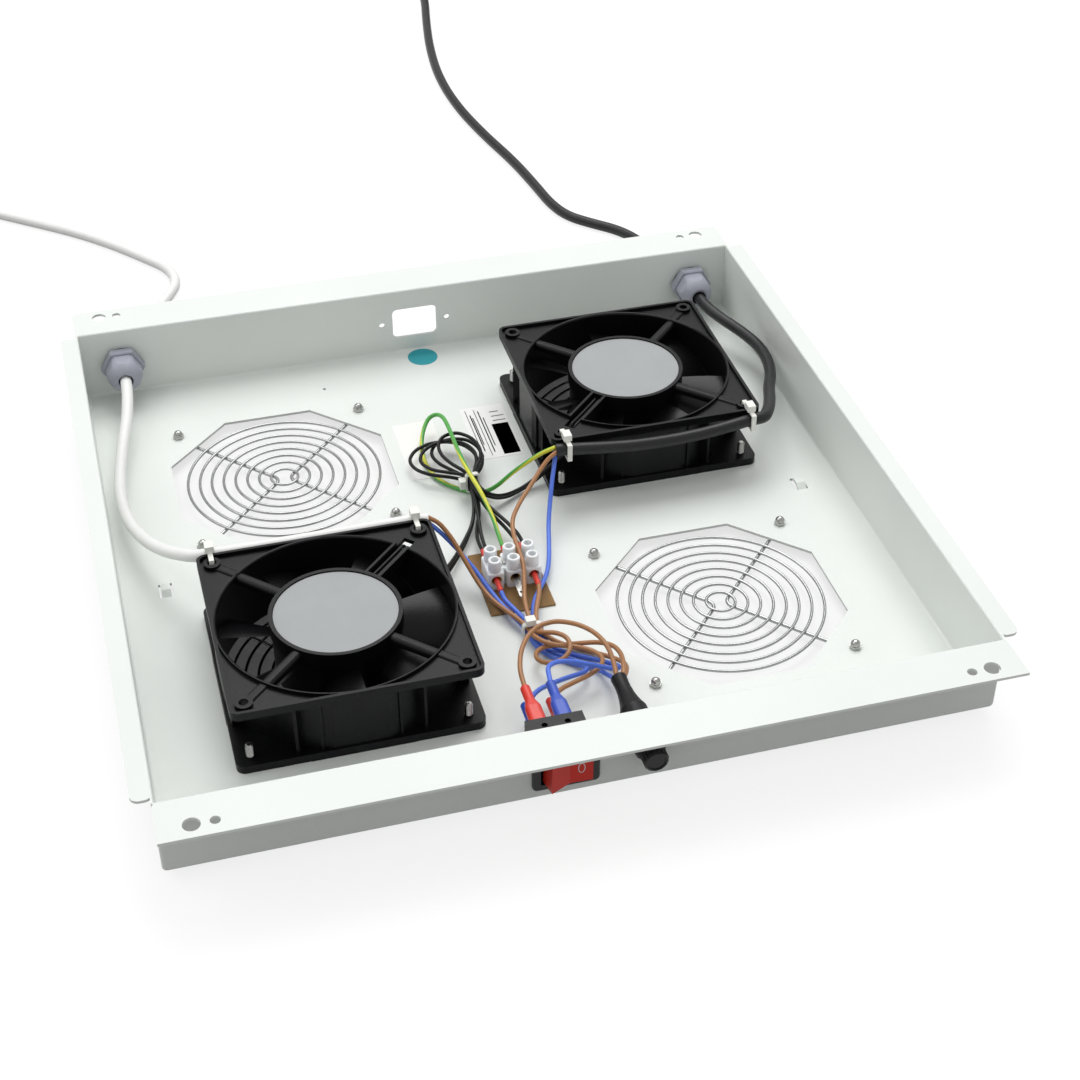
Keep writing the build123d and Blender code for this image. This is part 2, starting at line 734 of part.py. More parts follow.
def build_glands():
    """Cable glands through the rear wall: body, dome cap, seal ring and lock nut."""
    axis_z = floor_top + gland_height
    with BuildPart() as seals:
        with BuildSketch(Plane.XZ.offset(-rear_inner)):
            with Locations((0, axis_z)):
                with GridLocations(2 * gland_x, 1, 2, 1):
                    Circle(seal_radius)
                    Circle(gland_hole_radius, mode=Mode.SUBTRACT)
        extrude(amount=seal_thickness)
    save(seals, "gland_seals")
    with BuildPart() as lock_nuts:
        with BuildSketch(Plane.XZ.offset(-rear_outer)):
            with Locations((0, axis_z)):
                with GridLocations(2 * gland_x, 1, 2, 1):
                    RegularPolygon(gland_flats / 2, 6, major_radius=False)
                    Circle(gland_thread_radius + press_gap, mode=Mode.SUBTRACT)
        extrude(amount=-lock_nut_thickness)
    save(lock_nuts, "gland_lock_nuts")
    body_start = rear_inner - seal_thickness
    cap_start = body_start - gland_flange
    for name, x, diameter in (("left", -gland_x, stat_diameter), ("right", gland_x, mains_diameter)):
        bore = diameter / 2 + gland_bore_gap
        with BuildPart() as body:
            with BuildSketch(Plane.XZ.offset(-body_start)):
                with Locations((x, axis_z)):
                    RegularPolygon(gland_flats / 2, 6, major_radius=False)
            extrude(amount=gland_flange)
            chamfer(body.faces().sort_by(Axis.Y)[0].edges(), length=0.6)
            with BuildSketch(Plane.XZ.offset(-cap_start)):
                with Locations((x, axis_z)):
                    Circle(spigot_radius)
            extrude(amount=spigot_length)
            with BuildSketch(Plane.XZ.offset(-body_start)):
                with Locations((x, axis_z)):
                    Circle(gland_thread_radius)
            extrude(amount=-(seal_thickness + sheet + gland_thread_length))
            with BuildSketch(Plane.XZ.offset(-cap_start + spigot_length + 1)):
                with Locations((x, axis_z)):
                    Circle(bore)
            extrude(amount=-60, mode=Mode.SUBTRACT)
        save(body, f"{name}_gland_body")
        with BuildPart() as cap:
            with BuildSketch(Plane.XZ.offset(-cap_start)):
                with Locations((x, axis_z)):
                    RegularPolygon(gland_cap_flats / 2, 6, major_radius=False)
            extrude(amount=gland_cap_length)
            with BuildSketch(Plane.YZ.offset(x)):
                outer = gland_cap_flats / 2 + 0.9
                shoulder = (cap_start - gland_cap_length * 0.4, axis_z + outer)
                bulge = (cap_start - gland_cap_length * 0.8, axis_z + outer * 0.82)
                lip = (cap_start - gland_cap_length, axis_z + bore + gland_mouth_gap + 1.3)
                with BuildLine():
                    Polyline((cap_start, axis_z), (cap_start, axis_z + outer), shoulder)
                    ThreePointArc(shoulder, bulge, lip)
                    Polyline(lip, (cap_start - gland_cap_length, axis_z), (cap_start, axis_z))
                make_face()
            revolve(axis=Axis((x, 0, axis_z), (0, 1, 0)), mode=Mode.INTERSECT)
            with BuildSketch(Plane.XZ.offset(-cap_start)):
                with Locations((x, axis_z)):
                    Circle(spigot_radius + press_gap)
            extrude(amount=spigot_length + 0.4, mode=Mode.SUBTRACT)
            with BuildSketch(Plane.XZ.offset(-cap_start)):
                with Locations((x, axis_z)):
                    Circle(bore + gland_mouth_gap)
            extrude(amount=gland_cap_length + 1, mode=Mode.SUBTRACT)
        save(cap, f"{name}_gland_cap")


def build_switch():
    """Rocker switch: body with bezel and pocket, rocker on two pins, blade terminals."""
    axis_z = floor_top + switch_height
    bezel_front = front_outer - bezel_thickness
    pivot_y = bezel_front + pivot_inset
    body_end = front_outer + sheet + switch_body_depth
    with BuildPart() as body:
        with BuildSketch(Plane.XZ.offset(-front_outer)):
            with Locations((switch_x, axis_z)):
                RectangleRounded(bezel_width, bezel_height, bezel_corner)
        extrude(amount=bezel_thickness)
        fillet(body.faces().sort_by(Axis.Y)[0].edges(), radius=bezel_thickness * 0.5)
        with BuildSketch(Plane.XZ.offset(-front_outer)):
            with Locations((switch_x, axis_z)):
                Rectangle(switch_cutout_width - switch_fit_gap, switch_cutout_height - switch_fit_gap)
        extrude(amount=-(body_end - front_outer))
        with BuildSketch(Plane.XZ.offset(-bezel_front)):
            with Locations((switch_x, axis_z)):
                Rectangle(pocket_width, pocket_height)
        extrude(amount=-pocket_depth, mode=Mode.SUBTRACT)
        pin_reach = pocket_height / 2 + rocker_pin_length
        with BuildSketch(Plane.XY.offset(axis_z - pin_reach)):
            with Locations((switch_x, pivot_y)):
                Circle(rocker_pin_radius + rocker_pin_gap)
        extrude(amount=2 * pin_reach, mode=Mode.SUBTRACT)
        with BuildSketch(Plane.XY.offset(axis_z + switch_cutout_height / 2)):
            with Locations((switch_x, body_end - 5)):
                with GridLocations(11, 1, 2, 1):
                    Circle(1.5)
        extrude(amount=-1.6, mode=Mode.SUBTRACT)
        with BuildSketch(Plane.XZ.offset(-body_end)):
            with Locations((switch_x, axis_z)):
                with GridLocations(2 * terminal_spread, 2 * terminal_rise, 2, 2):
                    Rectangle(blade_width + press_gap, blade_gauge + press_gap)
        extrude(amount=4, mode=Mode.SUBTRACT)
    save(body, "switch_body")

    half = rocker_width / 2
    with BuildPart() as rocker:
        thick = pocket_height - 2 * rocker_length_gap
        with BuildSketch(Plane((switch_x, pivot_y, axis_z - thick / 2), x_dir=(1, 0, 0), z_dir=(0, 0, 1)).rotated(
            (0, 0, rocker_tilt)
        )):
            with BuildLine():
                Polyline(
                    (-half, rocker_back), (-half, -rocker_edge), (0, -rocker_middle), (half, -rocker_edge),
                    (half, rocker_back), (half * 0.45, rocker_back + 1.6), (-half * 0.45, rocker_back + 1.6),
                    close=True,
                )
            make_face()
        extrude(amount=thick)
        with BuildSketch(Plane.XY.offset(axis_z - pin_reach + 0.1)):
            with Locations((switch_x, pivot_y)):
                Circle(rocker_pin_radius)
        extrude(amount=2 * pin_reach - 0.2)
    save(rocker, "switch_rocker")

    with BuildPart() as terminals:
        with BuildSketch(Plane.XZ.offset(-body_end + 4)):
            with Locations((switch_x, axis_z)):
                with GridLocations(2 * terminal_spread, 2 * terminal_rise, 2, 2):
                    Rectangle(blade_width, blade_gauge)
        extrude(amount=-(4 + blade_length))
    save(terminals, "switch_terminals")

    with BuildPart() as sleeve:
        neck_start = sleeve_body_length + 5
        with BuildSketch(Plane.XZ):
            RectangleRounded(sleeve_body_width, sleeve_body_height, 2.4)
        with BuildSketch(Plane.XZ.offset(-sleeve_body_length)):
            RectangleRounded(sleeve_body_width - 0.4, sleeve_body_height, 2.4)
        with BuildSketch(Plane.XZ.offset(-neck_start)):
            Circle(sleeve_neck_radius)
        loft(ruled=True)
        with BuildSketch(Plane.XZ.offset(-neck_start)):
            Circle(sleeve_neck_radius)
        extrude(amount=-(sleeve_length - neck_start))
        fillet(sleeve.faces().sort_by(Axis.Y)[-1].edges(), radius=sleeve_neck_radius * 0.45)
        with BuildSketch(Plane.XZ):
            Rectangle(blade_width + 0.1, blade_gauge + 0.1)
        extrude(amount=-(blade_length + 0.5), mode=Mode.SUBTRACT)
    start = body_end + 0.6
    for name, spots in (
        ("red_receptacles", ((-1, 1), (1, -1))), ("blue_receptacles", ((1, 1), (-1, -1))),
    ):
        with BuildPart() as group:
            for column, row in spots:
                with Locations((switch_x + column * terminal_spread, start, axis_z + row * terminal_rise)):
                    add(sleeve.part)
        save(group, name)


def build_fuse_holder():
    """Panel fuse holder: body, nut, bayonet cap that carries the fuse link, shrink sleeve."""
    axis_z = floor_top + fuse_height
    axis = Axis((fuse_x, 0, axis_z), (0, 1, 0))
    ring_front = front_outer - fuse_ring
    with BuildPart() as body:
        with BuildSketch(Plane.XZ.offset(-front_outer)):
            with Locations((fuse_x, axis_z)):
                Circle(fuse_ring_radius)
        extrude(amount=fuse_ring)
        fillet(body.faces().sort_by(Axis.Y)[0].edges(), radius=0.7)
        with BuildSketch(Plane.XZ.offset(-front_outer)):
            with Locations((fuse_x, axis_z)):
                Circle(fuse_body_radius)
        extrude(amount=-fuse_body_depth)
        with BuildSketch(Plane.XZ.offset(-ring_front)):
            with Locations((fuse_x, axis_z)):
                Circle(fuse_bore_radius)
        extrude(amount=-(fuse_ring + fuse_body_depth - fuse_bore_floor), mode=Mode.SUBTRACT)
    save(body, "fuse_holder_body")

    with BuildPart() as nut:
        with BuildSketch(Plane.XZ.offset(-front_inner)):
            with Locations((fuse_x, axis_z)):
                RegularPolygon(fuse_nut_flats / 2, 6, major_radius=False)
                Circle(fuse_body_radius + press_gap, mode=Mode.SUBTRACT)
        extrude(amount=-fuse_nut_thickness)
    save(nut, "fuse_holder_nut")

    cap_back = ring_front - fuse_cap_gap
    stem_end = cap_back + fuse_stem_length
    with BuildPart() as cap:
        with BuildSketch(Plane.XZ.offset(-cap_back)):
            with Locations((fuse_x, axis_z)):
                Circle(fuse_cap_radius)
        extrude(amount=fuse_cap_length)
        chamfer(cap.faces().sort_by(Axis.Y)[0].edges(), length=0.8)
        with BuildSketch(Plane.XZ.offset(-cap_back + 1.2)):
            with Locations((fuse_x, axis_z)):
                with PolarLocations(fuse_cap_radius + 0.35, 16):
                    Circle(0.75)
        extrude(amount=fuse_cap_length, mode=Mode.SUBTRACT)
        with BuildSketch(Plane.XZ.offset(-cap_back + fuse_cap_length)):
            with Locations((fuse_x, axis_z)):
                Circle(fuse_cap_radius - 1.6)
        extrude(amount=-0.4, mode=Mode.SUBTRACT)
        with BuildSketch(Plane.XZ.offset(-cap_back)):
            with Locations((fuse_x, axis_z)):
                Circle(fuse_stem_radius)
        extrude(amount=-fuse_stem_length)
        with BuildSketch(Plane.XZ.offset(-stem_end)):
            with Locations((fuse_x, axis_z)):
                Circle(fuse_socket_radius)
        extrude(amount=fuse_socket_depth, mode=Mode.SUBTRACT)
    save(cap, "fuse_cap")

    link_front = stem_end - fuse_socket_depth + 0.3
    with BuildPart() as link:
        with BuildSketch(Plane.YZ.offset(fuse_x)):
            with BuildLine():
                rear = link_front + fuse_link_length
                Polyline(
                    (link_front, axis_z), (link_front, axis_z + fuse_link_radius),
                    (link_front + 5, axis_z + fuse_link_radius), (link_front + 5, axis_z + fuse_link_radius - 0.25),
                    (rear - 5, axis_z + fuse_link_radius - 0.25), (rear - 5, axis_z + fuse_link_radius),
                    (rear, axis_z + fuse_link_radius), (rear, axis_z), close=True,
                )
            make_face()
        revolve(axis=axis)
    save(link, "fuse_link")

    with BuildPart() as shrink:
        with BuildSketch(Plane.YZ.offset(fuse_x)):
            with BuildLine():
                start = fuse_body_end - shrink_overlap
                end = start + shrink_length
                first = (start, axis_z + shrink_radius)
                second = (fuse_body_end + 1, axis_z + shrink_radius - 0.2)
                last = (end, axis_z + shrink_end_radius)
                Polyline((start, axis_z), first, second)
                Spline(second, (fuse_body_end + 9, axis_z + shrink_waist_radius), last)
                Polyline(last, (end, axis_z), (start, axis_z))
            make_face()
        revolve(axis=axis)
        with BuildSketch(Plane.XZ.offset(-start)):
            with Locations((fuse_x, axis_z)):
                Circle(fuse_body_radius + press_gap)
        extrude(amount=-shrink_overlap, mode=Mode.SUBTRACT)
    save(shrink, "fuse_sleeve")


def build_terminal_strip():
    """Three-pole screw strip with its inserts, screws, ferrules, earth tab and card."""
    base = floor_top + card_thickness
    wire_z = floor_top + strip_wire_height
    poles = (-strip_pitch, 0.0, strip_pitch)
    with BuildPart() as card:
        with BuildSketch(Plane.XY.offset(floor_top)):
            with Locations((-0.8, card_y)):
                Rectangle(card_width, card_depth)
            with Locations((-strip_pitch / 2, strip_y)):
                Circle(fixing_screw_radius + 0.1, mode=Mode.SUBTRACT)
        extrude(amount=card_thickness)
    save(card, "insulating_card")

    with BuildPart() as strip:
        with BuildSketch(Plane.XY.offset(base)):
            with Locations((0, strip_y)):
                Rectangle(2 * strip_pitch + strip_pole_width, strip_web_width)
                with GridLocations(strip_pitch, 1, 3, 1):
                    RectangleRounded(strip_pole_width, strip_depth, 1.5)
        extrude(amount=strip_body_height)
        fillet(strip.faces().sort_by(Axis.Z)[-1].edges(), radius=0.8)
        with BuildSketch(Plane.XY.offset(base)):
            with Locations((0, strip_y)):
                with GridLocations(strip_pitch, 2 * strip_tower_spread, 3, 2):
                    Circle(strip_tower_radius)
        extrude(amount=strip_tower_height)
        fillet(strip.faces().filter_by(Plane.XY).sort_by(Axis.Z)[-6:].edges(), radius=0.7)
        with BuildSketch(Plane.XY.offset(wire_z + insert_radius - 0.6)):
            with Locations((0, strip_y)):
                with GridLocations(strip_pitch, 2 * strip_tower_spread, 3, 2):
                    Circle(tower_bore_radius)
        extrude(amount=strip_tower_height, mode=Mode.SUBTRACT)
        with BuildSketch(Plane.XZ.offset(-strip_y + strip_depth / 2 + 1)):
            with Locations((0, wire_z)):
                with GridLocations(strip_pitch, 1, 3, 1):
                    Circle(insert_radius + press_gap)
        extrude(amount=-(strip_depth + 2), mode=Mode.SUBTRACT)
        with BuildSketch(Plane.XY.offset(base)):
            with Locations((0, strip_y)):
                with GridLocations(strip_pitch, 1, 2, 1):
                    Circle(fixing_screw_radius + 0.1)
        extrude(amount=strip_tower_height, mode=Mode.SUBTRACT)
    save(strip, "terminal_strip")

    with BuildPart() as inserts:
        with BuildSketch(Plane.XZ.offset(-strip_y + insert_length / 2)):
            with Locations((0, wire_z)):
                with GridLocations(strip_pitch, 1, 3, 1):
                    Circle(insert_radius)
                    Circle(insert_bore, mode=Mode.SUBTRACT)
        extrude(amount=-insert_length)
    save(inserts, "terminal_inserts")

    with BuildPart() as screws:
        with BuildSketch(Plane.XY.offset(wire_z + insert_radius)):
            with Locations((0, strip_y)):
                with GridLocations(strip_pitch, 2 * strip_tower_spread, 3, 2):
                    Circle(clamp_screw_radius + 0.5)
        extrude(amount=4)
        slots = screws.faces().sort_by(Axis.Z)[-1].center().Z
        with BuildSketch(Plane.XY.offset(slots)):
            with Locations((0, strip_y)):
                with GridLocations(strip_pitch, 2 * strip_tower_spread, 3, 2):
                    Rectangle(2 * tower_bore_radius, 0.7)
        extrude(amount=-0.8, mode=Mode.SUBTRACT)
        body_top = base + strip_body_height
        with BuildSketch(Plane.XY.offset(floor_bottom - 2)):
            with Locations((-strip_pitch / 2, strip_y)):
                Circle(fixing_screw_radius)
        extrude(amount=body_top - floor_bottom + 2)
        with BuildSketch(Plane.XY.offset(body_top)):
            with Locations((-strip_pitch / 2, strip_y)):
                Circle(2.2)
                Rectangle(0.7, 4.4, mode=Mode.SUBTRACT)
        extrude(amount=1.4)
    save(screws, "terminal_screws")

    with BuildPart() as ferrules:
        for x, side, width in (
            (-strip_pitch, 1, 4.6), (0, 1, 2.8), (strip_pitch, 1, 4.6), (-strip_pitch, -1, 2.8), (strip_pitch, -1, 2.8),
        ):
            add_ferrule(x, side, width, wire_z)
    save(ferrules, "wire_ferrules")

    with BuildPart() as tab:
        tab_start = strip_y - 2
        tab_end = strip_y - strip_depth / 2 - 16
        with BuildSketch(Plane.XY.offset(wire_z - 0.4)):
            with Locations((0, (tab_start + tab_end) / 2)):
                Rectangle(3.6, tab_start - tab_end)
            with Locations((0, tab_end + 3.6)):
                Circle(1.0, mode=Mode.SUBTRACT)
        extrude(amount=0.8)
        fillet(tab.edges().filter_by(Axis.Z).group_by(Axis.Y)[0], radius=1.0)
    save(tab, "earth_tab")


def add_ferrule(x, side, width, wire_z):
    """Wire ferrule: a metal tail clamped in the insert under a flared plastic collar."""
    face = strip_y + side * strip_depth / 2
    turn = Vector(0, side, 0)
    plane = Plane(origin=(x, face, wire_z), x_dir=(1, 0, 0), z_dir=turn)
    with BuildSketch(plane.offset(-6)) as tail:
        Circle(1.4)
    extrude(tail.sketch, amount=6.5)
    with BuildSketch(plane.offset(0.4)) as neck:
        Circle(1.5)
    with BuildSketch(plane.offset(3)) as collar:
        RectangleRounded(width, 2.8, 1.35)
    loft([neck.sketch, collar.sketch])
    extrude(collar.sketch, amount=6)


def build_ties():
    """Cable ties: closed bands with a locking head, square to the cables they hold."""
    hole_offset = bolt_pitch / 2
    fan_top = floor_top + fan_depth
    with BuildPart() as fan_ties:
        for x, y, turn in fan_bays.values():
            side = 1 if turn == 0 else -1
            diameter = stat_diameter if turn == 0 else mains_diameter
            cable_y = y + side * (fan_size / 2 + diameter / 2 + tied_cable_gap)
            hole_y = y + side * hole_offset
            cable_z = fan_top - diameter / 2 - tied_cable_drop
            low = cable_z - diameter / 2 - tie_gap
            high = fan_top + tie_gap
            near = hole_y + side * 0.5
            far = cable_y + side * (diameter / 2 + tie_gap)
            for shift in (-hole_offset, hole_offset):
                left = x + shift - tie_width / 2
                with BuildSketch(Plane.YZ.offset(left)):
                    with Locations(((near + far) / 2, (low + high) / 2)):
                        Rectangle(abs(far - near) + 2 * tie_thickness, high - low + 2 * tie_thickness)
                        Rectangle(abs(far - near), high - low, mode=Mode.SUBTRACT)
                extrude(amount=tie_width)
                with BuildSketch(Plane.XY.offset(high + tie_thickness)):
                    with Locations((x + shift, (near + far) / 2 + side)):
                        Rectangle(tie_head, 6)
                extrude(amount=3.6)
    save(fan_ties, "fan_ties")

    with BuildPart() as bundle_tie:
        add_band(37.0, (-5.3, 0.4), (4.6, 14.35))
        with BuildSketch(Plane.XZ.offset(-37 + tie_head / 2)):
            with Locations((-5.3 - tie_thickness - 1.7, floor_top + 9.5)):
                Rectangle(3.4, 5)
        extrude(amount=-tie_head)
    save(bundle_tie, "bundle_tie")

    with BuildPart() as harness_tie:
        add_band(-85.0, (-5.85, 2.85), (1.7, 7.65))
        with BuildSketch(Plane.XY.offset(floor_top + 7.65 + tie_thickness)):
            with Locations((-2.6, -85)):
                Rectangle(5, tie_head)
        extrude(amount=3.4)
    save(harness_tie, "harness_tie")


def add_band(y, across, heights):
    """Band in the XZ plane round a bundle that runs along Y."""
    x0, x1 = across
    z0, z1 = heights
    with BuildSketch(Plane.XZ.offset(-y - tie_width / 2)) as outline:
        with Locations(((x0 + x1) / 2, floor_top + (z0 + z1) / 2)):
            RectangleRounded(x1 - x0 + 2 * tie_thickness, z1 - z0 + 2 * tie_thickness, 1.8)
            RectangleRounded(x1 - x0, z1 - z0, 0.8, mode=Mode.SUBTRACT)
    extrude(outline.sketch, amount=tie_width)


def build_stickers():
    """Bare round sticker and two bare labels on the floor."""
    with BuildPart() as disc:
        with BuildSketch(Plane.XY.offset(floor_top)):
            with Locations((sticker_x, rear_inner - sticker_wall_gap)):
                Circle(sticker_radius)
        extrude(amount=sticker_thickness)
    save(disc, "round_sticker")
    with BuildPart() as labels:
        with BuildSketch(Plane.XY.offset(floor_top)):
            for centre, size in ((rating_label, rating_label_size), (blank_label, blank_label_size)):
                with Locations(centre):
                    RectangleRounded(*size, 1.0)
        extrude(amount=sticker_thickness)
    save(labels, "floor_labels")


def from_gland(points, side):
    """Points counted outwards from a gland's axis and from the tray's rear face."""
    return [(side * (gland_x + x), rear_outer + y, z) for x, y, z in points]


def from_fan(points, side):
    """Points counted from a fan's middle."""
    return [(side * bay_x + x, side * bay_y + y, z) for x, y, z in points]


def from_front(points):
    """Points whose depth is counted from the tray's front face."""
    return [(x, front_outer + y, z) for x, y, z in points]


# Routes of the cables and wires, heights above the tray's floor unless said otherwise
mains_inside = from_gland([
    (0.0, 9.5, 19.5), (0.0, -21.5, 19.5), (1.3, -33.5, 19.0), (6.3, -46.5, 18.0), (13.3, -61.5, 17.0),
    (17.8, -79.5, 17.0), (16.3, -98.5, 18.5),
], 1) + from_fan([
    (86.8, -6.6, 21.0), (78.8, -23.6, 24.5), (73.3, -39.1, 28.0), (67.3, -52.6, 31.6), (60.8, -62.8, 33.6),
    (52.4, -63.85, 34.2), (38.8, -65.4, 33.2), (21.8, -66.4, 31.8), (1.8, -66.7, 31.2), (-18.2, -66.3, 31.6),
    (-36.2, -65.2, 33.0), (-52.4, -63.85, 34.2), (-58.7, -62.8, 34.2),
], 1)
stat_inside = from_gland([
    (0.0, 9.5, 19.5), (0.0, -21.5, 19.4), (0.8, -35.5, 18.0), (3.3, -53.5, 15.5), (7.8, -73.5, 13.5),
    (11.8, -95.5, 12.0), (14.3, -117.5, 12.0), (13.8, -139.5, 13.0),
], -1) + from_fan([
    (-85.8, 116.6, 15.5), (-79.3, 98.1, 20.0), (-72.6, 83.8, 25.2), (-67.3, 74.1, 29.8), (-60.8, 66.4, 33.0),
    (-53.3, 63.7, 34.35), (-42.8, 63.7, 34.2), (-21.8, 65.3, 32.7), (0.2, 66.2, 31.9), (21.2, 65.8, 32.4),
    (38.2, 64.8, 33.5), (52.4, 63.7, 34.35), (59.7, 63.0, 34.0),
], -1)
earth_wire = [
    (40.5, 21.4, 35.5), (34.0, 22.5, 33.0), (27.0, 25.0, 27.0), (18.0, 28.5, 18.0), (9.5, 31.5, 7.6),
    (2.2, 35.0, 2.4), (-5.7, 41.0, 1.4), (-13.0, 47.5, 1.5), (-18.5, 56.0, 1.8), (-21.0, 66.0, 2.2),
    (-21.5, 77.0, 2.6), (-19.7, 88.5, 4.6), (-15.9, 98.0, 7.4), (-11.7, 103.2, 10.2), (-7.3, 101.6, 12.8),
    (-5.3, 95.0, 14.9), (-5.0, 86.0, 16.2), (-5.2, 72.0, 17.0), (-5.5, 58.0, 17.5), (-5.3, 44.0, 18.0),
    (-4.4, 32.0, 18.0), (-2.5, 22.0, 16.5), (-0.8, 12.0, 13.4), (0.4, 1.0, 10.2), (0.2, -10.0, 7.9),
    (0.0, -20.0, 7.0),
]
left_lead_low = from_fan([
    (24.6, 22.8, 34.8), (34.8, 33.2, 34.6), (45.4, 43.6, 34.8), (46.0, 44.2, 27.0), (47.7, 43.8, 20.5),
], -1) + [
    (-48.0, -40.5, 13.5), (-41.0, -39.5, 8.5), (-33.0, -32.0, 5.5), (-25.5, -20.0, 3.4), (-18.0, -7.5, 2.4),
    (-10.5, 6.0, 2.9), (-6.0, 19.0, 4.3), (-4.0, 29.0, 5.6), (-3.8, 37.0, 6.0), (-5.5, 45.0, 6.0),
    (-13.0, 50.0, 6.0), (-22.0, 54.0, 6.0), (-29.0, 61.0, 6.0), (-31.0, 70.0, 6.0), (-26.0, 79.0, 6.0),
    (-16.0, 84.0, 6.0), (-6.0, 83.0, 6.0), (2.0, 78.0, 6.0), (6.5, 69.0, 6.0), (6.5, 58.0, 6.0),
    (3.0, 48.0, 6.0), (-1.2, 42.0, 6.0), (-1.4, 36.0, 5.9), (-1.7, 28.0, 5.4), (-3.5, 17.0, 4.6),
    (-7.6, 5.0, 4.8), (-11.2, -8.0, 6.2), (-11.1, -20.0, 7.0),
]
left_lead_high = from_fan([
    (22.8, 24.6, 34.8), (33.0, 35.0, 34.6), (43.6, 45.4, 34.8), (44.2, 46.0, 27.5), (45.8, 46.4, 21.5),
], -1) + [
    (-49.0, -38.2, 16.0), (-41.5, -37.8, 11.0), (-33.0, -30.8, 7.9), (-25.5, -19.5, 5.9), (-17.8, -7.0, 4.9),
    (-10.0, 6.0, 5.3), (-5.8, 19.0, 6.8), (-4.0, 29.0, 8.0), (-3.8, 37.0, 8.3), (-5.0, 45.0, 8.3),
    (-10.0, 52.0, 8.3), (-16.0, 60.0, 8.3), (-18.5, 70.0, 8.3), (-14.0, 79.0, 8.3), (-5.0, 82.0, 8.3),
    (4.0, 79.5, 8.3), (9.0, 71.0, 8.3), (9.3, 60.0, 8.3), (6.0, 50.0, 8.3), (0.0, 43.0, 8.3),
    (-1.4, 36.0, 8.1), (-1.4, 28.0, 7.5), (-0.4, 19.0, 6.7), (2.5, 7.0, 6.6), (6.0, -5.0, 6.8), (8.9, -20.0, 7.0),
]
right_lead_low = from_fan([
    (-24.6, -22.8, 34.8), (-34.8, -33.2, 34.6), (-45.4, -43.6, 34.8), (-46.0, -44.2, 27.0), (-47.7, -43.8, 20.5),
], 1) + [
    (48.0, 40.5, 13.5), (41.5, 39.5, 8.2), (33.5, 37.0, 3.6), (24.0, 33.0, 1.6), (15.0, 28.0, 2.4),
    (8.0, 25.0, 5.0), (2.0, 24.6, 8.4), (-1.0, 29.0, 10.4), (-1.4, 37.0, 10.6), (0.5, 45.0, 10.6),
    (4.5, 54.0, 10.6), (5.5, 64.0, 10.6), (1.5, 73.0, 10.6), (-6.5, 77.5, 10.6), (-16.0, 76.0, 10.6),
    (-23.5, 70.0, 10.6), (-26.5, 61.0, 10.6), (-22.0, 52.5, 10.6), (-13.0, 47.5, 10.6), (-5.5, 43.5, 10.6),
    (-3.8, 36.0, 10.6), (-4.0, 28.0, 10.2), (-5.5, 15.0, 9.0), (-7.3, 2.0, 8.0), (-8.8, -9.0, 7.3),
    (-9.0, -20.0, 7.0),
]
right_lead_high = from_fan([
    (-22.8, -24.6, 34.8), (-33.0, -35.0, 34.6), (-43.6, -45.4, 34.8), (-44.2, -46.0, 27.5), (-45.8, -46.4, 21.5),
], 1) + [
    (49.0, 38.2, 16.5), (41.5, 37.8, 11.0), (33.5, 35.4, 6.6), (24.5, 31.6, 4.2), (15.0, 26.8, 4.9),
    (8.0, 23.4, 7.7), (2.0, 23.2, 11.2), (-1.0, 28.5, 12.8), (-1.4, 37.0, 12.9), (1.5, 45.0, 12.9),
    (6.5, 53.0, 12.9), (8.5, 63.0, 12.9), (6.0, 74.0, 12.9), (-1.0, 81.0, 12.9), (-9.5, 79.0, 12.9),
    (-14.0, 71.0, 12.9), (-14.0, 61.0, 12.9), (-10.5, 52.0, 12.9), (-5.5, 44.0, 12.9), (-3.8, 36.0, 12.9),
    (-3.5, 28.0, 12.5), (-1.5, 17.0, 11.3), (3.0, 6.0, 10.2), (7.5, -4.0, 9.2), (10.6, -13.0, 7.8),
    (11.1, -20.0, 7.0),
]
mains_brown = [
    (40.5, 19.3, 33.9), (35.5, 17.8, 31.6), (30.0, 14.0, 28.0), (22.0, 6.0, 24.0), (13.5, -3.0, 21.0),
    (7.2, -12.0, 18.2), (5.2, -22.0, 16.4), (5.0, -33.0, 15.0), (4.9, -44.0, 13.8), (2.4, -54.5, 10.5),
    (-0.4, -65.0, 7.6), (-1.3, -75.0, 6.2), (-1.3, -85.0, 5.9), (-0.8, -90.5, 7.3), (1.8, -95.0, 10.0),
] + from_front([
    (6.6, 95.1, 11.9), (10.8, 90.3, 12.3), (11.4, 84.1, 11.7), (8.3, 78.5, 10.9), (2.4, 75.7, 9.9),
    (-3.7, 78.1, 8.5), (-6.4, 84.1, 7.1), (-4.6, 90.3, 6.1), (1.0, 93.5, 5.4), (8.6, 92.7, 5.2),
    (18.0, 90.0, 6.5), (26.0, 84.5, 10.0), (30.5, 75.5, 14.5), (31.2, 65.5, 17.6), (29.4, 55.5, 19.8),
    (26.4, 47.0, 19.8),
])
mains_blue = [
    (40.5, 22.1, 32.6), (38.9, 17.8, 28.6), (35.5, 10.5, 22.5), (31.8, 1.5, 15.0), (28.0, -9.0, 9.0),
    (25.2, -20.0, 5.8), (21.8, -32.5, 4.6), (17.8, -43.5, 4.4), (11.8, -53.0, 4.2), (6.2, -61.0, 3.8),
    (2.6, -70.0, 3.5), (1.2, -78.0, 3.3), (1.2, -85.5, 3.3), (2.5, -92.0, 2.8),
] + from_front([
    (6.0, 95.0, 1.8), (12.0, 89.7, 1.4), (20.5, 84.0, 1.4), (28.0, 77.0, 2.6), (31.8, 70.5, 5.2),
    (30.5, 64.5, 8.8), (24.5, 62.5, 12.0), (15.5, 64.5, 15.0), (6.5, 66.0, 18.0), (-1.5, 64.5, 21.0),
    (-7.5, 60.0, 23.0), (-9.3, 47.1, 23.3),
])
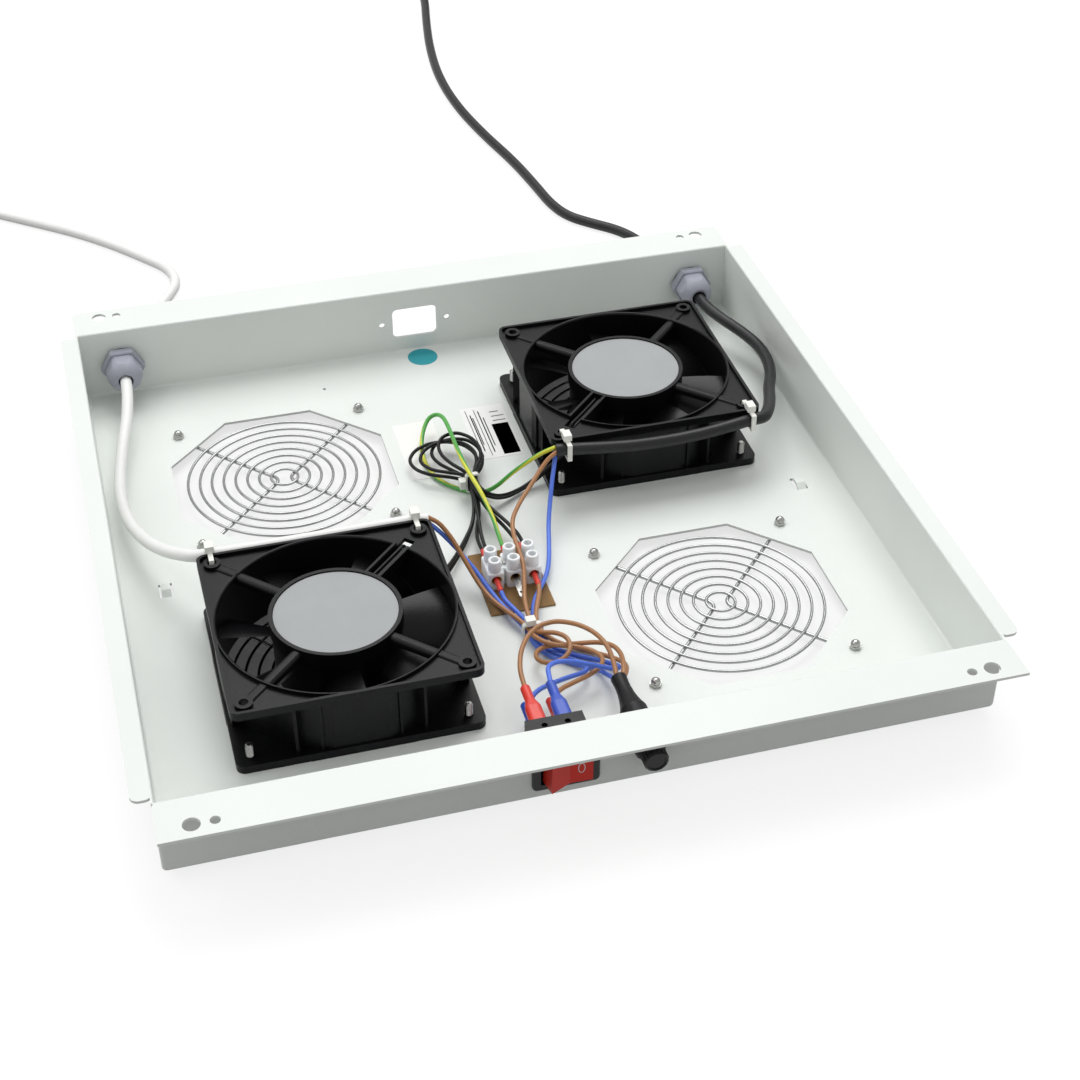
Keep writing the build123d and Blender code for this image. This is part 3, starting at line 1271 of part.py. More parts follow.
strip_brown = [
    (10.0, -55.0, 7.0), (8.6, -61.0, 6.9), (5.2, -69.0, 6.5), (2.3, -77.0, 6.0), (1.2, -85.0, 5.8),
    (2.6, -90.5, 5.6), (6.8, -95.3, 3.8),
] + from_front([
    (13.5, 94.2, 1.9), (22.0, 88.7, 1.4), (30.6, 80.0, 3.0), (34.2, 69.5, 7.8), (32.4, 58.5, 13.6),
    (26.2, 47.0, 17.0),
])
strip_blue = [
    (-10.0, -55.0, 7.0), (-9.4, -60.0, 5.4), (-6.0, -67.0, 3.9), (-2.8, -75.0, 3.3), (-1.3, -83.0, 3.3),
    (-0.9, -91.0, 2.4),
] + from_front([
    (2.6, 94.8, 1.5), (9.0, 88.0, 1.4), (17.0, 80.9, 1.4), (22.5, 73.5, 2.2), (25.3, 64.5, 5.2),
    (25.3, 55.5, 10.8), (23.0, 47.0, 16.9),
])
stat_brown = [
    (-39.5, -20.2, 35.2), (-34.0, -22.0, 31.8), (-29.0, -27.0, 25.0), (-25.5, -34.0, 18.5), (-22.5, -42.0, 13.0),
    (-19.5, -51.0, 8.8), (-15.5, -61.0, 6.6), (-10.5, -70.0, 6.0), (-6.0, -78.5, 5.9), (-3.8, -86.0, 6.0),
    (-3.4, -93.0, 7.6),
] + from_front([
    (0.5, 93.5, 8.2), (7.0, 89.0, 8.3), (14.5, 86.2, 8.3), (21.5, 81.7, 8.2), (25.0, 75.0, 8.6),
    (22.8, 68.5, 9.2), (15.5, 63.0, 10.0), (6.0, 58.5, 11.2), (-3.0, 54.5, 12.0), (-9.3, 47.1, 12.3),
])
stat_blue = [
    (-39.5, -21.7, 32.6), (-33.8, -23.6, 26.8), (-27.4, -28.6, 19.6), (-23.0, -34.2, 14.6), (-18.9, -41.5, 10.4),
    (-15.6, -50.5, 6.8), (-12.2, -60.0, 4.5), (-8.7, -70.0, 3.7), (-5.4, -78.5, 3.3), (-3.8, -86.0, 3.3),
    (-2.8, -94.0, 2.3),
] + from_front([
    (0.6, 92.5, 1.5), (6.2, 86.5, 1.4), (12.5, 81.2, 1.6), (16.2, 76.6, 3.0), (16.4, 71.7, 5.2),
    (12.2, 67.7, 7.3), (5.0, 64.9, 9.0), (-4.0, 61.5, 10.4), (-13.5, 57.0, 11.8), (-21.7, 47.1, 12.3),
])
fuse_brown = from_front([
    (23.2, 47.0, 20.4), (24.3, 55.5, 22.3), (24.0, 65.0, 24.9), (20.4, 74.0, 26.5), (13.5, 81.5, 27.3),
    (4.0, 86.0, 27.6), (-5.0, 85.0, 27.4), (-12.5, 79.0, 27.0), (-18.0, 70.0, 26.0), (-21.2, 59.5, 24.6),
    (-21.7, 47.1, 23.3),
])

# Free cords outside, heights above the surface that the tray stands on
mains_outside = [
    (175.2, 203.0, 25.6), (175.2, 218.0, 25.2), (176.0, 234.0, 20.0), (176.5, 250.0, 11.0), (176.0, 268.0, 4.6),
    (173.0, 289.0, 3.4), (164.0, 305.0, 3.4), (150.0, 318.0, 3.4), (137.0, 332.0, 3.4), (130.5, 352.0, 3.4),
    (127.5, 380.0, 3.4), (122.0, 420.0, 3.4), (112.0, 465.0, 3.4), (104.0, 515.0, 3.4), (102.0, 568.0, 3.4),
    (107.0, 622.0, 3.4), (116.0, 675.0, 3.4), (125.5, 722.0, 3.4), (128.0, 760.0, 3.4), (131.5, 793.0, 3.4),
]
stat_outside = [
    (-175.2, 203.0, 25.6), (-175.0, 217.0, 25.2), (-173.0, 231.0, 20.5), (-168.0, 246.0, 12.0),
    (-159.0, 263.0, 5.2), (-149.0, 281.0, 3.3), (-138.5, 298.0, 3.3), (-130.5, 315.0, 3.3), (-134.0, 334.0, 3.3),
    (-148.5, 353.0, 3.3), (-165.5, 374.5, 3.3), (-187.0, 397.0, 3.3), (-212.0, 418.0, 3.3), (-238.0, 439.0, 3.3),
    (-262.5, 461.0, 3.3), (-284.0, 486.0, 3.3),
]


def build_wires():
    """Inner cables and wires, each whole along its own route."""
    for name, diameter, routes in (
        ("mains_cable_inside", mains_diameter, [mains_inside]),
        ("stat_cable_inside", stat_diameter, [stat_inside]),
        ("earth_wire", core_diameter, [earth_wire]),
        ("fan_leads", lead_diameter, [left_lead_low, left_lead_high, right_lead_low, right_lead_high]),
        ("brown_wires", core_diameter, [mains_brown, strip_brown, stat_brown, fuse_brown]),
        ("blue_wires", core_diameter, [mains_blue, strip_blue, stat_blue]),
    ):
        ideal = 0.0
        with BuildPart() as wires:
            for route in routes:
                ideal += tube(on_floor(route), diameter, name)
        print(f"{name}: volume {wires.part.volume:.0f}, section x length {ideal:.0f}")
        save(wires, name)


def build_outside_cords():
    """Mains lead and thermostat lead behind the tray, with their put-away coils."""
    coils = (
        ("mains_cord", mains_diameter, mains_outside, mains_coil_centre, mains_coil_radius),
        ("stat_cord", stat_diameter, stat_outside, stat_coil_centre, stat_coil_radius),
    )
    for name, diameter, route, centre, radius in coils:
        with BuildPart() as cord:
            ideal = tube(route, diameter, name)
        print(f"{name}: volume {cord.part.volume:.0f}, section x length {ideal:.0f}")
        save(cord, name)
        with BuildPart() as coil:
            with BuildSketch(Plane.XZ):
                with Locations((radius, diameter * coil_layers / 2)):
                    RectangleRounded(2 * diameter, diameter * coil_layers, diameter * 0.48)
            revolve(axis=Axis.Z)
        save_copy(coil, f"{name}_coil", *centre)


def build_cord_ends():
    """Mains plug, and the stripped end of the thermostat lead."""
    start = mains_coil_centre[0] + 21.5
    side_y = mains_coil_centre[1] + mains_coil_radius
    with BuildPart() as plug:
        with BuildSketch(Plane.XZ.offset(-side_y)):
            with BuildLine():
                shoulder = start + plug_sleeve_length
                face = shoulder + plug_length
                neck = mains_diameter / 2 + 1.4
                Polyline(
                    (start, plug_radius), (start, plug_radius + neck), (shoulder, plug_radius + neck + 1.2),
                )
                Spline(
                    (shoulder, plug_radius + neck + 1.2), (shoulder + 10, plug_radius * 1.75),
                    (shoulder + 24, 2 * plug_radius), tangents=((1, 0.3), (1, 0)),
                )
                Polyline(
                    (shoulder + 24, 2 * plug_radius), (face - 1.5, 2 * plug_radius), (face, 2 * plug_radius - 1.5),
                    (face, plug_radius), (start, plug_radius),
                )
            make_face()
        revolve(axis=Axis((0, side_y, plug_radius), (1, 0, 0)))
        with BuildSketch(Plane.YZ.offset(face)):
            with Locations((side_y, plug_radius)):
                with GridLocations(plug_pin_pitch, 1, 2, 1):
                    Circle(plug_pin_radius)
        extrude(amount=plug_pin_length)
    save(plug, "mains_plug")

    centre = Vector(*stat_coil_centre, stat_diameter / 2)
    outward = Vector(-0.652, 0.758, 0)
    heading = Vector(-0.758, -0.652, 0)
    jacket = centre + outward * stat_coil_radius + heading * 20
    with BuildPart() as bare_end:
        with BuildSketch(Plane(origin=jacket, z_dir=heading)):
            Circle(stat_diameter / 2)
        extrude(amount=14)
        with BuildSketch(Plane(origin=jacket + heading * 13.5, x_dir=outward, z_dir=heading)):
            with GridLocations(core_diameter + 0.4, 1, 2, 1):
                Circle(core_diameter / 2)
        extrude(amount=bare_core_length)
    save(bare_end, "stat_cord_end")


build_tray()
build_guards()
build_screws()
build_fans()
build_glands()
build_switch()
build_fuse_holder()
build_terminal_strip()
build_ties()
build_stickers()
build_wires()
build_outside_cords()
build_cord_ends()
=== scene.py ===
import json
import math

import bmesh
import bpy
from mathutils import Matrix, Vector


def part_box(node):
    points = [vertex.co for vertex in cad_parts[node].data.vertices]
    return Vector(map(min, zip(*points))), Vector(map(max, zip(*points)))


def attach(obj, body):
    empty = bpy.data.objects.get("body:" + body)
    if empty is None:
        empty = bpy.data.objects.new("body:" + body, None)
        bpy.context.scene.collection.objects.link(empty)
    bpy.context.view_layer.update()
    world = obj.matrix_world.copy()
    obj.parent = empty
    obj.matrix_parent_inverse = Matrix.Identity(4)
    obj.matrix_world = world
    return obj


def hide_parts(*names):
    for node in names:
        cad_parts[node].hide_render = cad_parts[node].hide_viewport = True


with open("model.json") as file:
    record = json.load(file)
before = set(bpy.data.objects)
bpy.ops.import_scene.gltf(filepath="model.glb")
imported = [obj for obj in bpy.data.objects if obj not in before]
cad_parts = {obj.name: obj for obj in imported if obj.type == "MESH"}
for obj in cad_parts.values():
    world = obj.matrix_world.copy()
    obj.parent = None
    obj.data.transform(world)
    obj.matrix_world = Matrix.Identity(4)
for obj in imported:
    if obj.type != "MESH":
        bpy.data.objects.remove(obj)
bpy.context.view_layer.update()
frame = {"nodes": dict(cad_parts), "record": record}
joints = {joint["name"]: joint for joint in frame["record"]["behaviour"]["joints"]}

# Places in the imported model, metres
floor_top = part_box("floor_labels")[0].z
bay_x, bay_y = joints["right_fan_spin"]["pos_m"][:2]

# Camera: place and aim in metres, lens and sensor in millimetres
camera_place = (-0.192795, -0.791635, 0.644454)
camera_aim = (0.022874, -0.010644, floor_top)
camera_lens = 64.28
camera_sensor = 36.0

# Table and surround
table_half = 6.0
# Reach of the painted shade on the table round each bay's centre, metres
bay_shade_reach = 0.08
surround_brightness = 0.67
surround_front_share = 0.84
surround_front = -0.9
surround_rear = 0.6

# Depth of the relief, and of the light's reach into milky nylon, metres
relief_depth = 0.0004
milky_depth = 0.002

# Free cords and the earth core: sizes in metres, routes in millimetres
mains_diameter = 0.0068
stat_diameter = 0.0065
earth_diameter = 0.0024
coil_turns = 5.25
coil_steps = 16
coil_change_share = 0.25
plug_lead_in = ((0.012, 0.0185), (0.0225, 0.019))
mains_route_mm = [
    (175.2, 203.0, 25.6), (175.2, 218.0, 25.2), (176.0, 234.0, 20.0), (176.5, 250.0, 11.0),
    (176.0, 268.0, 4.6), (173.0, 289.0, 3.4), (164.0, 305.0, 3.4), (150.0, 318.0, 3.4),
    (137.0, 332.0, 3.4), (130.5, 352.0, 3.4), (127.5, 380.0, 3.4), (122.0, 420.0, 3.4),
    (112.0, 465.0, 3.4), (104.0, 515.0, 3.4), (102.0, 568.0, 3.4), (107.0, 622.0, 3.4),
    (116.0, 675.0, 3.4), (125.5, 722.0, 3.4), (128.0, 760.0, 3.4), (131.5, 793.0, 3.4),
]
stat_route_mm = [
    (-175.2, 203.0, 25.6), (-175.0, 217.0, 25.2), (-173.0, 231.0, 20.5), (-168.0, 246.0, 12.0),
    (-159.0, 263.0, 5.2), (-149.0, 281.0, 3.3), (-138.5, 298.0, 3.3), (-130.5, 315.0, 3.3),
    (-134.0, 334.0, 3.3), (-148.5, 353.0, 3.3), (-165.5, 374.5, 3.3), (-187.0, 397.0, 3.3),
    (-212.0, 418.0, 3.3), (-238.0, 439.0, 3.3), (-262.5, 461.0, 3.3), (-284.0, 486.0, 3.3),
]
earth_route_mm = [
    (40.5, 21.4, 35.5), (34.0, 22.5, 33.0), (27.0, 25.0, 27.0), (18.0, 28.5, 18.0), (9.5, 31.5, 7.6),
    (2.2, 35.0, 2.4), (-5.7, 41.0, 1.4), (-13.0, 47.5, 1.5), (-18.5, 56.0, 1.8), (-21.0, 66.0, 2.2),
    (-21.5, 77.0, 2.6), (-19.7, 88.5, 4.6), (-15.9, 98.0, 7.4), (-11.7, 103.2, 10.2), (-7.3, 101.6, 12.8),
    (-5.3, 95.0, 14.9), (-5.0, 86.0, 16.2), (-5.2, 72.0, 17.0), (-5.5, 58.0, 17.5), (-5.3, 44.0, 18.0),
    (-4.4, 32.0, 18.0), (-2.5, 22.0, 16.5), (-0.8, 12.0, 13.4), (0.4, 1.0, 10.2), (0.2, -10.0, 7.9),
    (0.0, -20.0, 7.0),
]

# Threads on the fan screws, metres
bolt_pitch = 0.1048
thread_root = 0.0017
thread_crest = 0.002
thread_pitch = 0.0007
thread_start = 0.0047
thread_end_gap = 0.0004

# Print on the rating label, metres: left, near, right and far edge of each mark
print_thickness = 0.00004
label_panel = (0.0245, 0.0705, 0.0342, 0.1010)
long_bars = (
    (0.0125, 0.071, 0.0129, 0.118), (0.0175, 0.071, 0.0179, 0.118), (0.0142, 0.076, 0.0149, 0.113),
    (0.0152, 0.082, 0.0158, 0.110), (0.0195, 0.074, 0.0202, 0.116), (0.0212, 0.080, 0.0218, 0.109),
)
cross_bars = (
    (0.0262, 0.1040, 0.0338, 0.1048), (0.0262, 0.1085, 0.0338, 0.1093), (0.0262, 0.1130, 0.0315, 0.1138),
)

# Rocker's outer faces and the ring printed on one of them, metres; the ring's place is from the pivot
rocker_half = 0.0105
rocker_edge = 0.007
rocker_middle = 0.0045
ring_place = (0.0052, -0.0058, 0)
ring_half_width = 0.0017
ring_half_height = 0.0030
ring_inner_width_share = 0.78
ring_inner_height_share = 0.879
ring_thickness = 0.00005
ring_steps = 36


def link(name, data):
    """New object in the scene."""
    piece = bpy.data.objects.new(name, data)
    bpy.context.scene.collection.objects.link(piece)
    return piece


def mesh_piece(name, shape):
    """New object made of a finished bmesh."""
    data = bpy.data.meshes.new(name)
    shape.to_mesh(data)
    shape.free()
    return link(name, data)


def point_at(holder, place, target):
    """Put a camera or a lamp at its place and turn it to its target."""
    holder.location = place
    holder.rotation_euler = (Vector(target) - Vector(place)).to_track_quat("-Z", "Y").to_euler()


def place_camera():
    """Camera at the photograph's angle and distance."""
    camera = bpy.data.cameras.new("camera")
    camera.sensor_width = camera_sensor
    camera.lens = camera_lens
    camera.clip_start = 0.05
    camera.clip_end = 20.0
    holder = link("camera", camera)
    point_at(holder, camera_place, camera_aim)
    bpy.context.scene.camera = holder
    bpy.context.scene.view_settings.view_transform = "Standard"


def add_lamp(name, place, size, power):
    """Soft square lamp that points at the middle of the tray."""
    lamp = bpy.data.lights.new(name, "AREA")
    lamp.shape = "SQUARE"
    lamp.size = size
    lamp.energy = power
    point_at(link(name, lamp), place, (0, 0, 0))


def linear(red, green, blue):
    """Scene colour of a colour seen on a screen, 0 to 255."""
    return tuple(
        (value / 255 / 12.92) if value <= 10 else ((value / 255 + 0.055) / 1.055) ** 2.4
        for value in (red, green, blue)
    )


def reckon(tree, operation, *values):
    """Result of a maths node fed with numbers or with other nodes' outputs."""
    node = tree.nodes.new("ShaderNodeMath")
    node.operation = operation
    for socket, value in zip(node.inputs, values):
        if isinstance(value, (int, float)):
            socket.default_value = value
        else:
            tree.links.new(value, socket)
    return node.outputs[0]


def noise(tree, where, scale, detail):
    """Noise texture laid by the given coordinates."""
    texture = tree.nodes.new("ShaderNodeTexNoise")
    texture.inputs["Scale"].default_value = scale
    texture.inputs["Detail"].default_value = detail
    tree.links.new(where, texture.inputs["Vector"])
    return texture.outputs["Fac"]


def colour_ramp(tree, value, *stops):
    """Colour that runs between two stops, each a position and a colour."""
    node = tree.nodes.new("ShaderNodeValToRGB")
    for element, (position, colour) in zip(node.color_ramp.elements, stops):
        element.position = position
        element.color = colour + (1,)
    tree.links.new(value, node.inputs["Fac"])
    return node.outputs["Color"]


def spread(tree, value, from_low, from_high, to_low, to_high):
    """Value carried from one range into another."""
    node = tree.nodes.new("ShaderNodeMapRange")
    node.inputs["From Min"].default_value = from_low
    node.inputs["From Max"].default_value = from_high
    node.inputs["To Min"].default_value = to_low
    node.inputs["To Max"].default_value = to_high
    tree.links.new(value, node.inputs["Value"])
    return node.outputs["Result"]


def material(
    name, colour, roughness, metallic=0.0, tint=0.06, tint_scale=30.0, grain=0.12, grain_scale=900.0,
    rough_spread=0.08, milky=0.0, specular=0.5, stretch=(1, 1, 1),
):
    """Principled surface whose colour, roughness and relief come from noise in object space."""
    surface = bpy.data.materials.new(name)
    surface.use_nodes = True
    tree = surface.node_tree
    shader = tree.nodes["Principled BSDF"]
    shader.inputs["Metallic"].default_value = metallic
    shader.inputs["Subsurface Weight"].default_value = milky
    shader.inputs["Subsurface Radius"].default_value = (1.0, 1.0, 1.0)
    shader.inputs["Subsurface Scale"].default_value = milky_depth
    shader.inputs["Specular IOR Level"].default_value = specular
    where = tree.nodes.new("ShaderNodeTexCoord")
    scaling = tree.nodes.new("ShaderNodeMapping")
    scaling.inputs["Scale"].default_value = stretch
    tree.links.new(where.outputs["Object"], scaling.inputs["Vector"])
    patches = noise(tree, scaling.outputs["Vector"], tint_scale, 5.0)
    dark = tuple(channel * (1 - tint) for channel in colour)
    light = tuple(min(1.0, channel * (1 + tint)) for channel in colour)
    tree.links.new(colour_ramp(tree, patches, (0.3, dark), (0.7, light)), shader.inputs["Base Color"])
    fine = noise(tree, scaling.outputs["Vector"], grain_scale, 3.0)
    smoothest = max(0.02, roughness - rough_spread)
    roughest = min(1.0, roughness + rough_spread)
    tree.links.new(spread(tree, fine, 0.0, 1.0, smoothest, roughest), shader.inputs["Roughness"])
    relief = tree.nodes.new("ShaderNodeBump")
    relief.inputs["Strength"].default_value = grain
    relief.inputs["Distance"].default_value = relief_depth
    tree.links.new(fine, relief.inputs["Height"])
    tree.links.new(relief.outputs["Normal"], shader.inputs["Normal"])
    return surface


def striped_material(name, ground, stripe, turns_per_metre):
    """Two-colour wire insulation: a lengthwise stripe that turns slowly round the wire."""
    surface = material(name, ground, 0.35, tint=0.05, tint_scale=80, grain=0.05)
    tree = surface.node_tree
    base_colour = tree.nodes["Principled BSDF"].inputs["Base Color"]
    plain = base_colour.links[0].from_socket
    wrap = tree.nodes.new("ShaderNodeUVMap")
    wrap.uv_map = "wrap"
    parts = tree.nodes.new("ShaderNodeSeparateXYZ")
    tree.links.new(wrap.outputs["UV"], parts.inputs["Vector"])
    turning = reckon(tree, "MULTIPLY_ADD", parts.outputs["Y"], turns_per_metre, parts.outputs["X"])
    share = colour_ramp(tree, reckon(tree, "FRACT", turning), (0.42, (1, 1, 1)), (0.45, (0, 0, 0)))
    blend = tree.nodes.new("ShaderNodeMix")
    blend.data_type = "RGBA"
    # The mix node gives its sockets for colours the same names as its others, so they go by number
    factor, first_colour, second_colour, mixed_colour = 0, 6, 7, 2
    tree.links.new(share, blend.inputs[factor])
    tree.links.new(plain, blend.inputs[first_colour])
    blend.inputs[second_colour].default_value = stripe + (1,)
    tree.links.new(blend.outputs[mixed_colour], base_colour)
    return surface


def table_material(own, added, white_kept_in_painted_bay_shade, white_kept_in_painted_fan_shadow):
    """Pale table, white where it is seen, but with painted shade below the spare openings and a darker
    painted shadow below the fans.
    """
    surface = bpy.data.materials.new("table_white")
    surface.use_nodes = True
    tree = surface.node_tree
    nodes = tree.nodes
    links = tree.links
    nodes.remove(nodes["Principled BSDF"])
    matt = nodes.new("ShaderNodeBsdfDiffuse")
    matt.inputs["Color"].default_value = (own, own, own, 1)
    glow = nodes.new("ShaderNodeEmission")
    glow.inputs["Color"].default_value = (1, 1, 1, 1)
    rays = nodes.new("ShaderNodeLightPath").outputs
    seen = reckon(tree, "MAXIMUM", rays["Is Camera Ray"], rays["Is Glossy Ray"])
    seen = reckon(tree, "MAXIMUM", seen, rays["Is Transmission Ray"])
    where = nodes.new("ShaderNodeTexCoord")
    place = nodes.new("ShaderNodeSeparateXYZ")
    links.new(where.outputs["Object"], place.inputs["Vector"])
    x = place.outputs["X"]
    y = place.outputs["Y"]
    # Painted shade: the white seen on the table is cut back within reach of each bay's centre, and much
    # further below the fans as a painted fan shadow
    beside = reckon(tree, "SUBTRACT", reckon(tree, "ABSOLUTE", x), bay_x)
    beyond = reckon(tree, "SUBTRACT", reckon(tree, "ABSOLUTE", y), bay_y)
    apart = reckon(tree, "MULTIPLY_ADD", beside, beside, reckon(tree, "MULTIPLY", beyond, beyond))
    under_painted_bay_shade = reckon(tree, "LESS_THAN", apart, bay_shade_reach ** 2)
    fan_quarter = reckon(tree, "GREATER_THAN", reckon(tree, "MULTIPLY", x, y), 0.0)
    painted_fan_shadow = reckon(tree, "MULTIPLY", fan_quarter, white_kept_in_painted_bay_shade - white_kept_in_painted_fan_shadow)
    loss = reckon(tree, "MULTIPLY", under_painted_bay_shade, reckon(tree, "ADD", painted_fan_shadow, 1 - white_kept_in_painted_bay_shade))
    share = reckon(tree, "MULTIPLY", reckon(tree, "SUBTRACT", 1.0, loss), added)
    links.new(reckon(tree, "MULTIPLY", seen, share), glow.inputs["Strength"])
    both = nodes.new("ShaderNodeAddShader")
    links.new(matt.outputs[0], both.inputs[0])
    links.new(glow.outputs[0], both.inputs[1])
    links.new(both.outputs[0], nodes["Material Output"].inputs["Surface"])
    return surface


def build_floor():
    """White table under the object, with painted shade below the tray's openings."""
    plane = bpy.data.meshes.new("table_top")
    corners = [(x * table_half, y * table_half, 0) for x, y in ((-1, -1), (1, -1), (1, 1), (-1, 1))]
    plane.from_pydata(corners, [], [(0, 1, 2, 3)])
    table = link("table_top", plane)
    table.data.materials.append(table_material(own=0.25, added=0.8, white_kept_in_painted_bay_shade=0.88, white_kept_in_painted_fan_shadow=0.06))


def build_world():
    """Soft surround: white where it is seen, and where it lights a little brighter behind than in front."""
    world = bpy.data.worlds.new("surround")
    bpy.context.scene.world = world
    world.use_nodes = True
    tree = world.node_tree
    nodes = tree.nodes
    links = tree.links
    lighting = nodes["Background"]
    lighting.inputs["Strength"].default_value = surround_brightness
    where = nodes.new("ShaderNodeTexCoord")
    parts = nodes.new("ShaderNodeSeparateXYZ")
    links.new(where.outputs["Generated"], parts.inputs["Vector"])
    shade = spread(tree, parts.outputs["Y"], surround_front, surround_rear, surround_front_share, 1.0)
    links.new(shade, lighting.inputs["Color"])
    seen = nodes.new("ShaderNodeBackground")
    seen.inputs["Color"].default_value = (1, 1, 1, 1)
    seen.inputs["Strength"].default_value = 1.0
    rays = nodes.new("ShaderNodeLightPath").outputs
    direct = reckon(tree, "MAXIMUM", rays["Is Camera Ray"], rays["Is Transmission Ray"])
    both = nodes.new("ShaderNodeMixShader")
    links.new(direct, both.inputs["Fac"])
    links.new(lighting.outputs[0], both.inputs[1])
    links.new(seen.outputs[0], both.inputs[2])
    links.new(both.outputs[0], nodes["World Output"].inputs["Surface"])


def route(points_mm, lift=0.0):
    """Route points in metres."""
    return [(x / 1000, y / 1000, z / 1000 + lift) for x, y, z in points_mm]


def guide_curve(name, points):
    """Smooth open curve led by the points of a route."""
    data = bpy.data.curves.new(name, "CURVE")
    data.dimensions = "3D"
    data.resolution_u = 8
    spline = data.splines.new("NURBS")
    spline.points.add(len(points) - 1)
    for spot, (x, y, z) in zip(spline.points, points):
        spot.co = (x, y, z, 1)
    spline.order_u = 3
    spline.use_endpoint_u = True
    return link(name, data)


def spline_points(name, points):
    """Points along the smooth line of a route, close enough together for a mesh tube."""
    guide = guide_curve(name, points)
    bpy.context.view_layer.update()
    line = bpy.data.meshes.new_from_object(guide)
    spots = [vertex.co.copy() for vertex in line.vertices]
    bpy.data.meshes.remove(line)
    data = guide.data
    bpy.data.objects.remove(guide)
    bpy.data.curves.remove(data)
    return spots


def tube_mesh(name, spots, diameter, sides=14):
    """Mesh tube along points, with texture coordinates round it and along it."""
    shape = bmesh.new()
    wrap = shape.loops.layers.uv.new("wrap")
    heading = (spots[1] - spots[0]).normalized()
    side = heading.orthogonal().normalized()
    travelled = 0.0
    rings = []
    for index, spot in enumerate(spots):
        ahead = spots[min(index + 1, len(spots) - 1)] - spots[max(index - 1, 0)]
        ahead.normalize()
        side = (side - ahead * side.dot(ahead)).normalized()
        other = ahead.cross(side)
        if index:
            travelled += (spot - spots[index - 1]).length
        ring = []
        for step in range(sides):
            angle = 2 * math.pi * step / sides
            out = side * math.cos(angle) + other * math.sin(angle)
            ring.append(shape.verts.new(spot + out * diameter / 2))
        rings.append((ring, travelled))
    for (first, low), (second, high) in zip(rings, rings[1:]):
        for step in range(sides):
            after = (step + 1) % sides
            face = shape.faces.new((first[step], first[after], second[after], second[step]))
            face.smooth = True
            places = ((step, low), (step + 1, low), (step + 1, high), (step, high))
            for loop, (turn, reach) in zip(face.loops, places):
                loop[wrap].uv = (turn / sides, reach)
    shape.faces.new(list(reversed(rings[0][0])))
    shape.faces.new(rings[-1][0])
    return mesh_piece(name, shape)


def packed_coil(name, diameter):
    """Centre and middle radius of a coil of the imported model."""
    low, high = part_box(name)
    centre = ((low.x + high.x) / 2, (low.y + high.y) / 2)
    return centre, (high.x - low.x) / 2 - diameter


def coil_points(entry, centre, radius, diameter, way):
    """Turns laid in two columns and three layers, each a diameter from its neighbours."""
    inner = radius - diameter / 2
    outer = radius + diameter / 2
    slots = [(outer, 0), (inner, 0), (inner, 1), (outer, 1), (outer, 2), (inner, 2)]
    start_angle = math.atan2(entry[1] - centre[1], entry[0] - centre[0])
    points = []
    for step in range(1, int(coil_turns * coil_steps) + 1):
        turn = step / coil_steps
        index = min(int(turn), len(slots) - 1)
        here = slots[index]
        before = slots[index - 1] if index else (radius, 0)
        blend = min(1.0, (turn - index) / coil_change_share)
        blend = blend * blend * (3 - 2 * blend)
        reach = before[0] + (here[0] - before[0]) * blend
        layer = before[1] + (here[1] - before[1]) * blend
        angle = start_angle + way * 2 * math.pi * turn
        points.append((
            centre[0] + reach * math.cos(angle), centre[1] + reach * math.sin(angle),
            diameter * (0.5 + layer),
        ))
    return points


def build_cord(looks, name, points, diameter, nodes, slot):
    """Free cord along the smooth line of its route, in place of its run and its coil."""
    spots = spline_points(name + "_guide", points)
    cord = tube_mesh(name, spots, diameter)
    cord.data.materials.append(looks[slot])
    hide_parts(*nodes)
    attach(cord, "tray_assembly")


def build_mains_lead(looks):
    """Mains lead, coiled, and run on into its plug."""
    centre, radius = packed_coil("mains_cord_coil", mains_diameter)
    points = route(mains_route_mm)
    points += coil_points(points[-1], centre, radius, mains_diameter, way=-1)
    points += [(centre[0] + along, centre[1] + radius, height) for along, height in plug_lead_in]
    nodes = ("mains_cord", "mains_cord_coil")
    build_cord(
        looks, "mains_lead", points, mains_diameter, nodes, "black_cable",
    )


def build_stat_lead(looks):
    """Thermostat lead, coiled, with its stripped end."""
    centre, radius = packed_coil("stat_cord_coil", stat_diameter)
    points = route(stat_route_mm)
    points += coil_points(points[-1], centre, radius, stat_diameter, way=1)
    nodes = ("stat_cord", "stat_cord_coil")
    build_cord(
        looks, "thermostat_lead", points, stat_diameter, nodes, "white_cable",
    )


def build_earth_wire():
    """Green and yellow earth core."""
    spots = spline_points("earth_guide", route(earth_route_mm, floor_top))
    wire = tube_mesh("earth_core", spots, earth_diameter)
    wire.data.materials.append(
        striped_material("green_and_yellow", linear(84, 170, 74), linear(214, 214, 62), turns_per_metre=9.0)
    )
    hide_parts("earth_wire")
    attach(wire, "tray_assembly")


def thread_mesh(name, spots, low, high, sides=20):
    """Helical screw threads standing on the plain ends of screws."""
    shape = bmesh.new()
    rows = int((high - low) / thread_pitch * 2) + 2
    for x, y in spots:
        grid = []
        for row in range(rows):
            ring = []
            for step in range(sides + 1):
                angle = 2 * math.pi * step / sides
                height = low + thread_pitch * (row / 2 + step / sides - 1)
                height = min(max(height, low), high)
                reach = thread_crest if row % 2 and low < height < high else thread_root
                spot = (x + reach * math.cos(angle), y + reach * math.sin(angle), height)
                ring.append(shape.verts.new(spot))
            grid.append(ring)
        for first, second in zip(grid, grid[1:]):
            for step in range(sides):
                shape.faces.new((first[step], first[step + 1], second[step + 1], second[step]))
    return mesh_piece(name, shape)


def build_threads(looks):
    """Threads on the ends of the fan screws that stand up above the fans' lower flanges."""
    half = bolt_pitch / 2
    spots = [
        (side * -bay_x + dx, side * -bay_y + dy)
        for side in (1, -1) for dx in (-half, half) for dy in (-half, half)
    ]
    low = floor_top + thread_start
    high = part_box("fan_screws")[1].z - thread_end_gap
    threads = thread_mesh("screw_threads", spots, low, high)
    threads.data.materials.append(looks["plated_steel"])
    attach(threads, "tray_assembly")


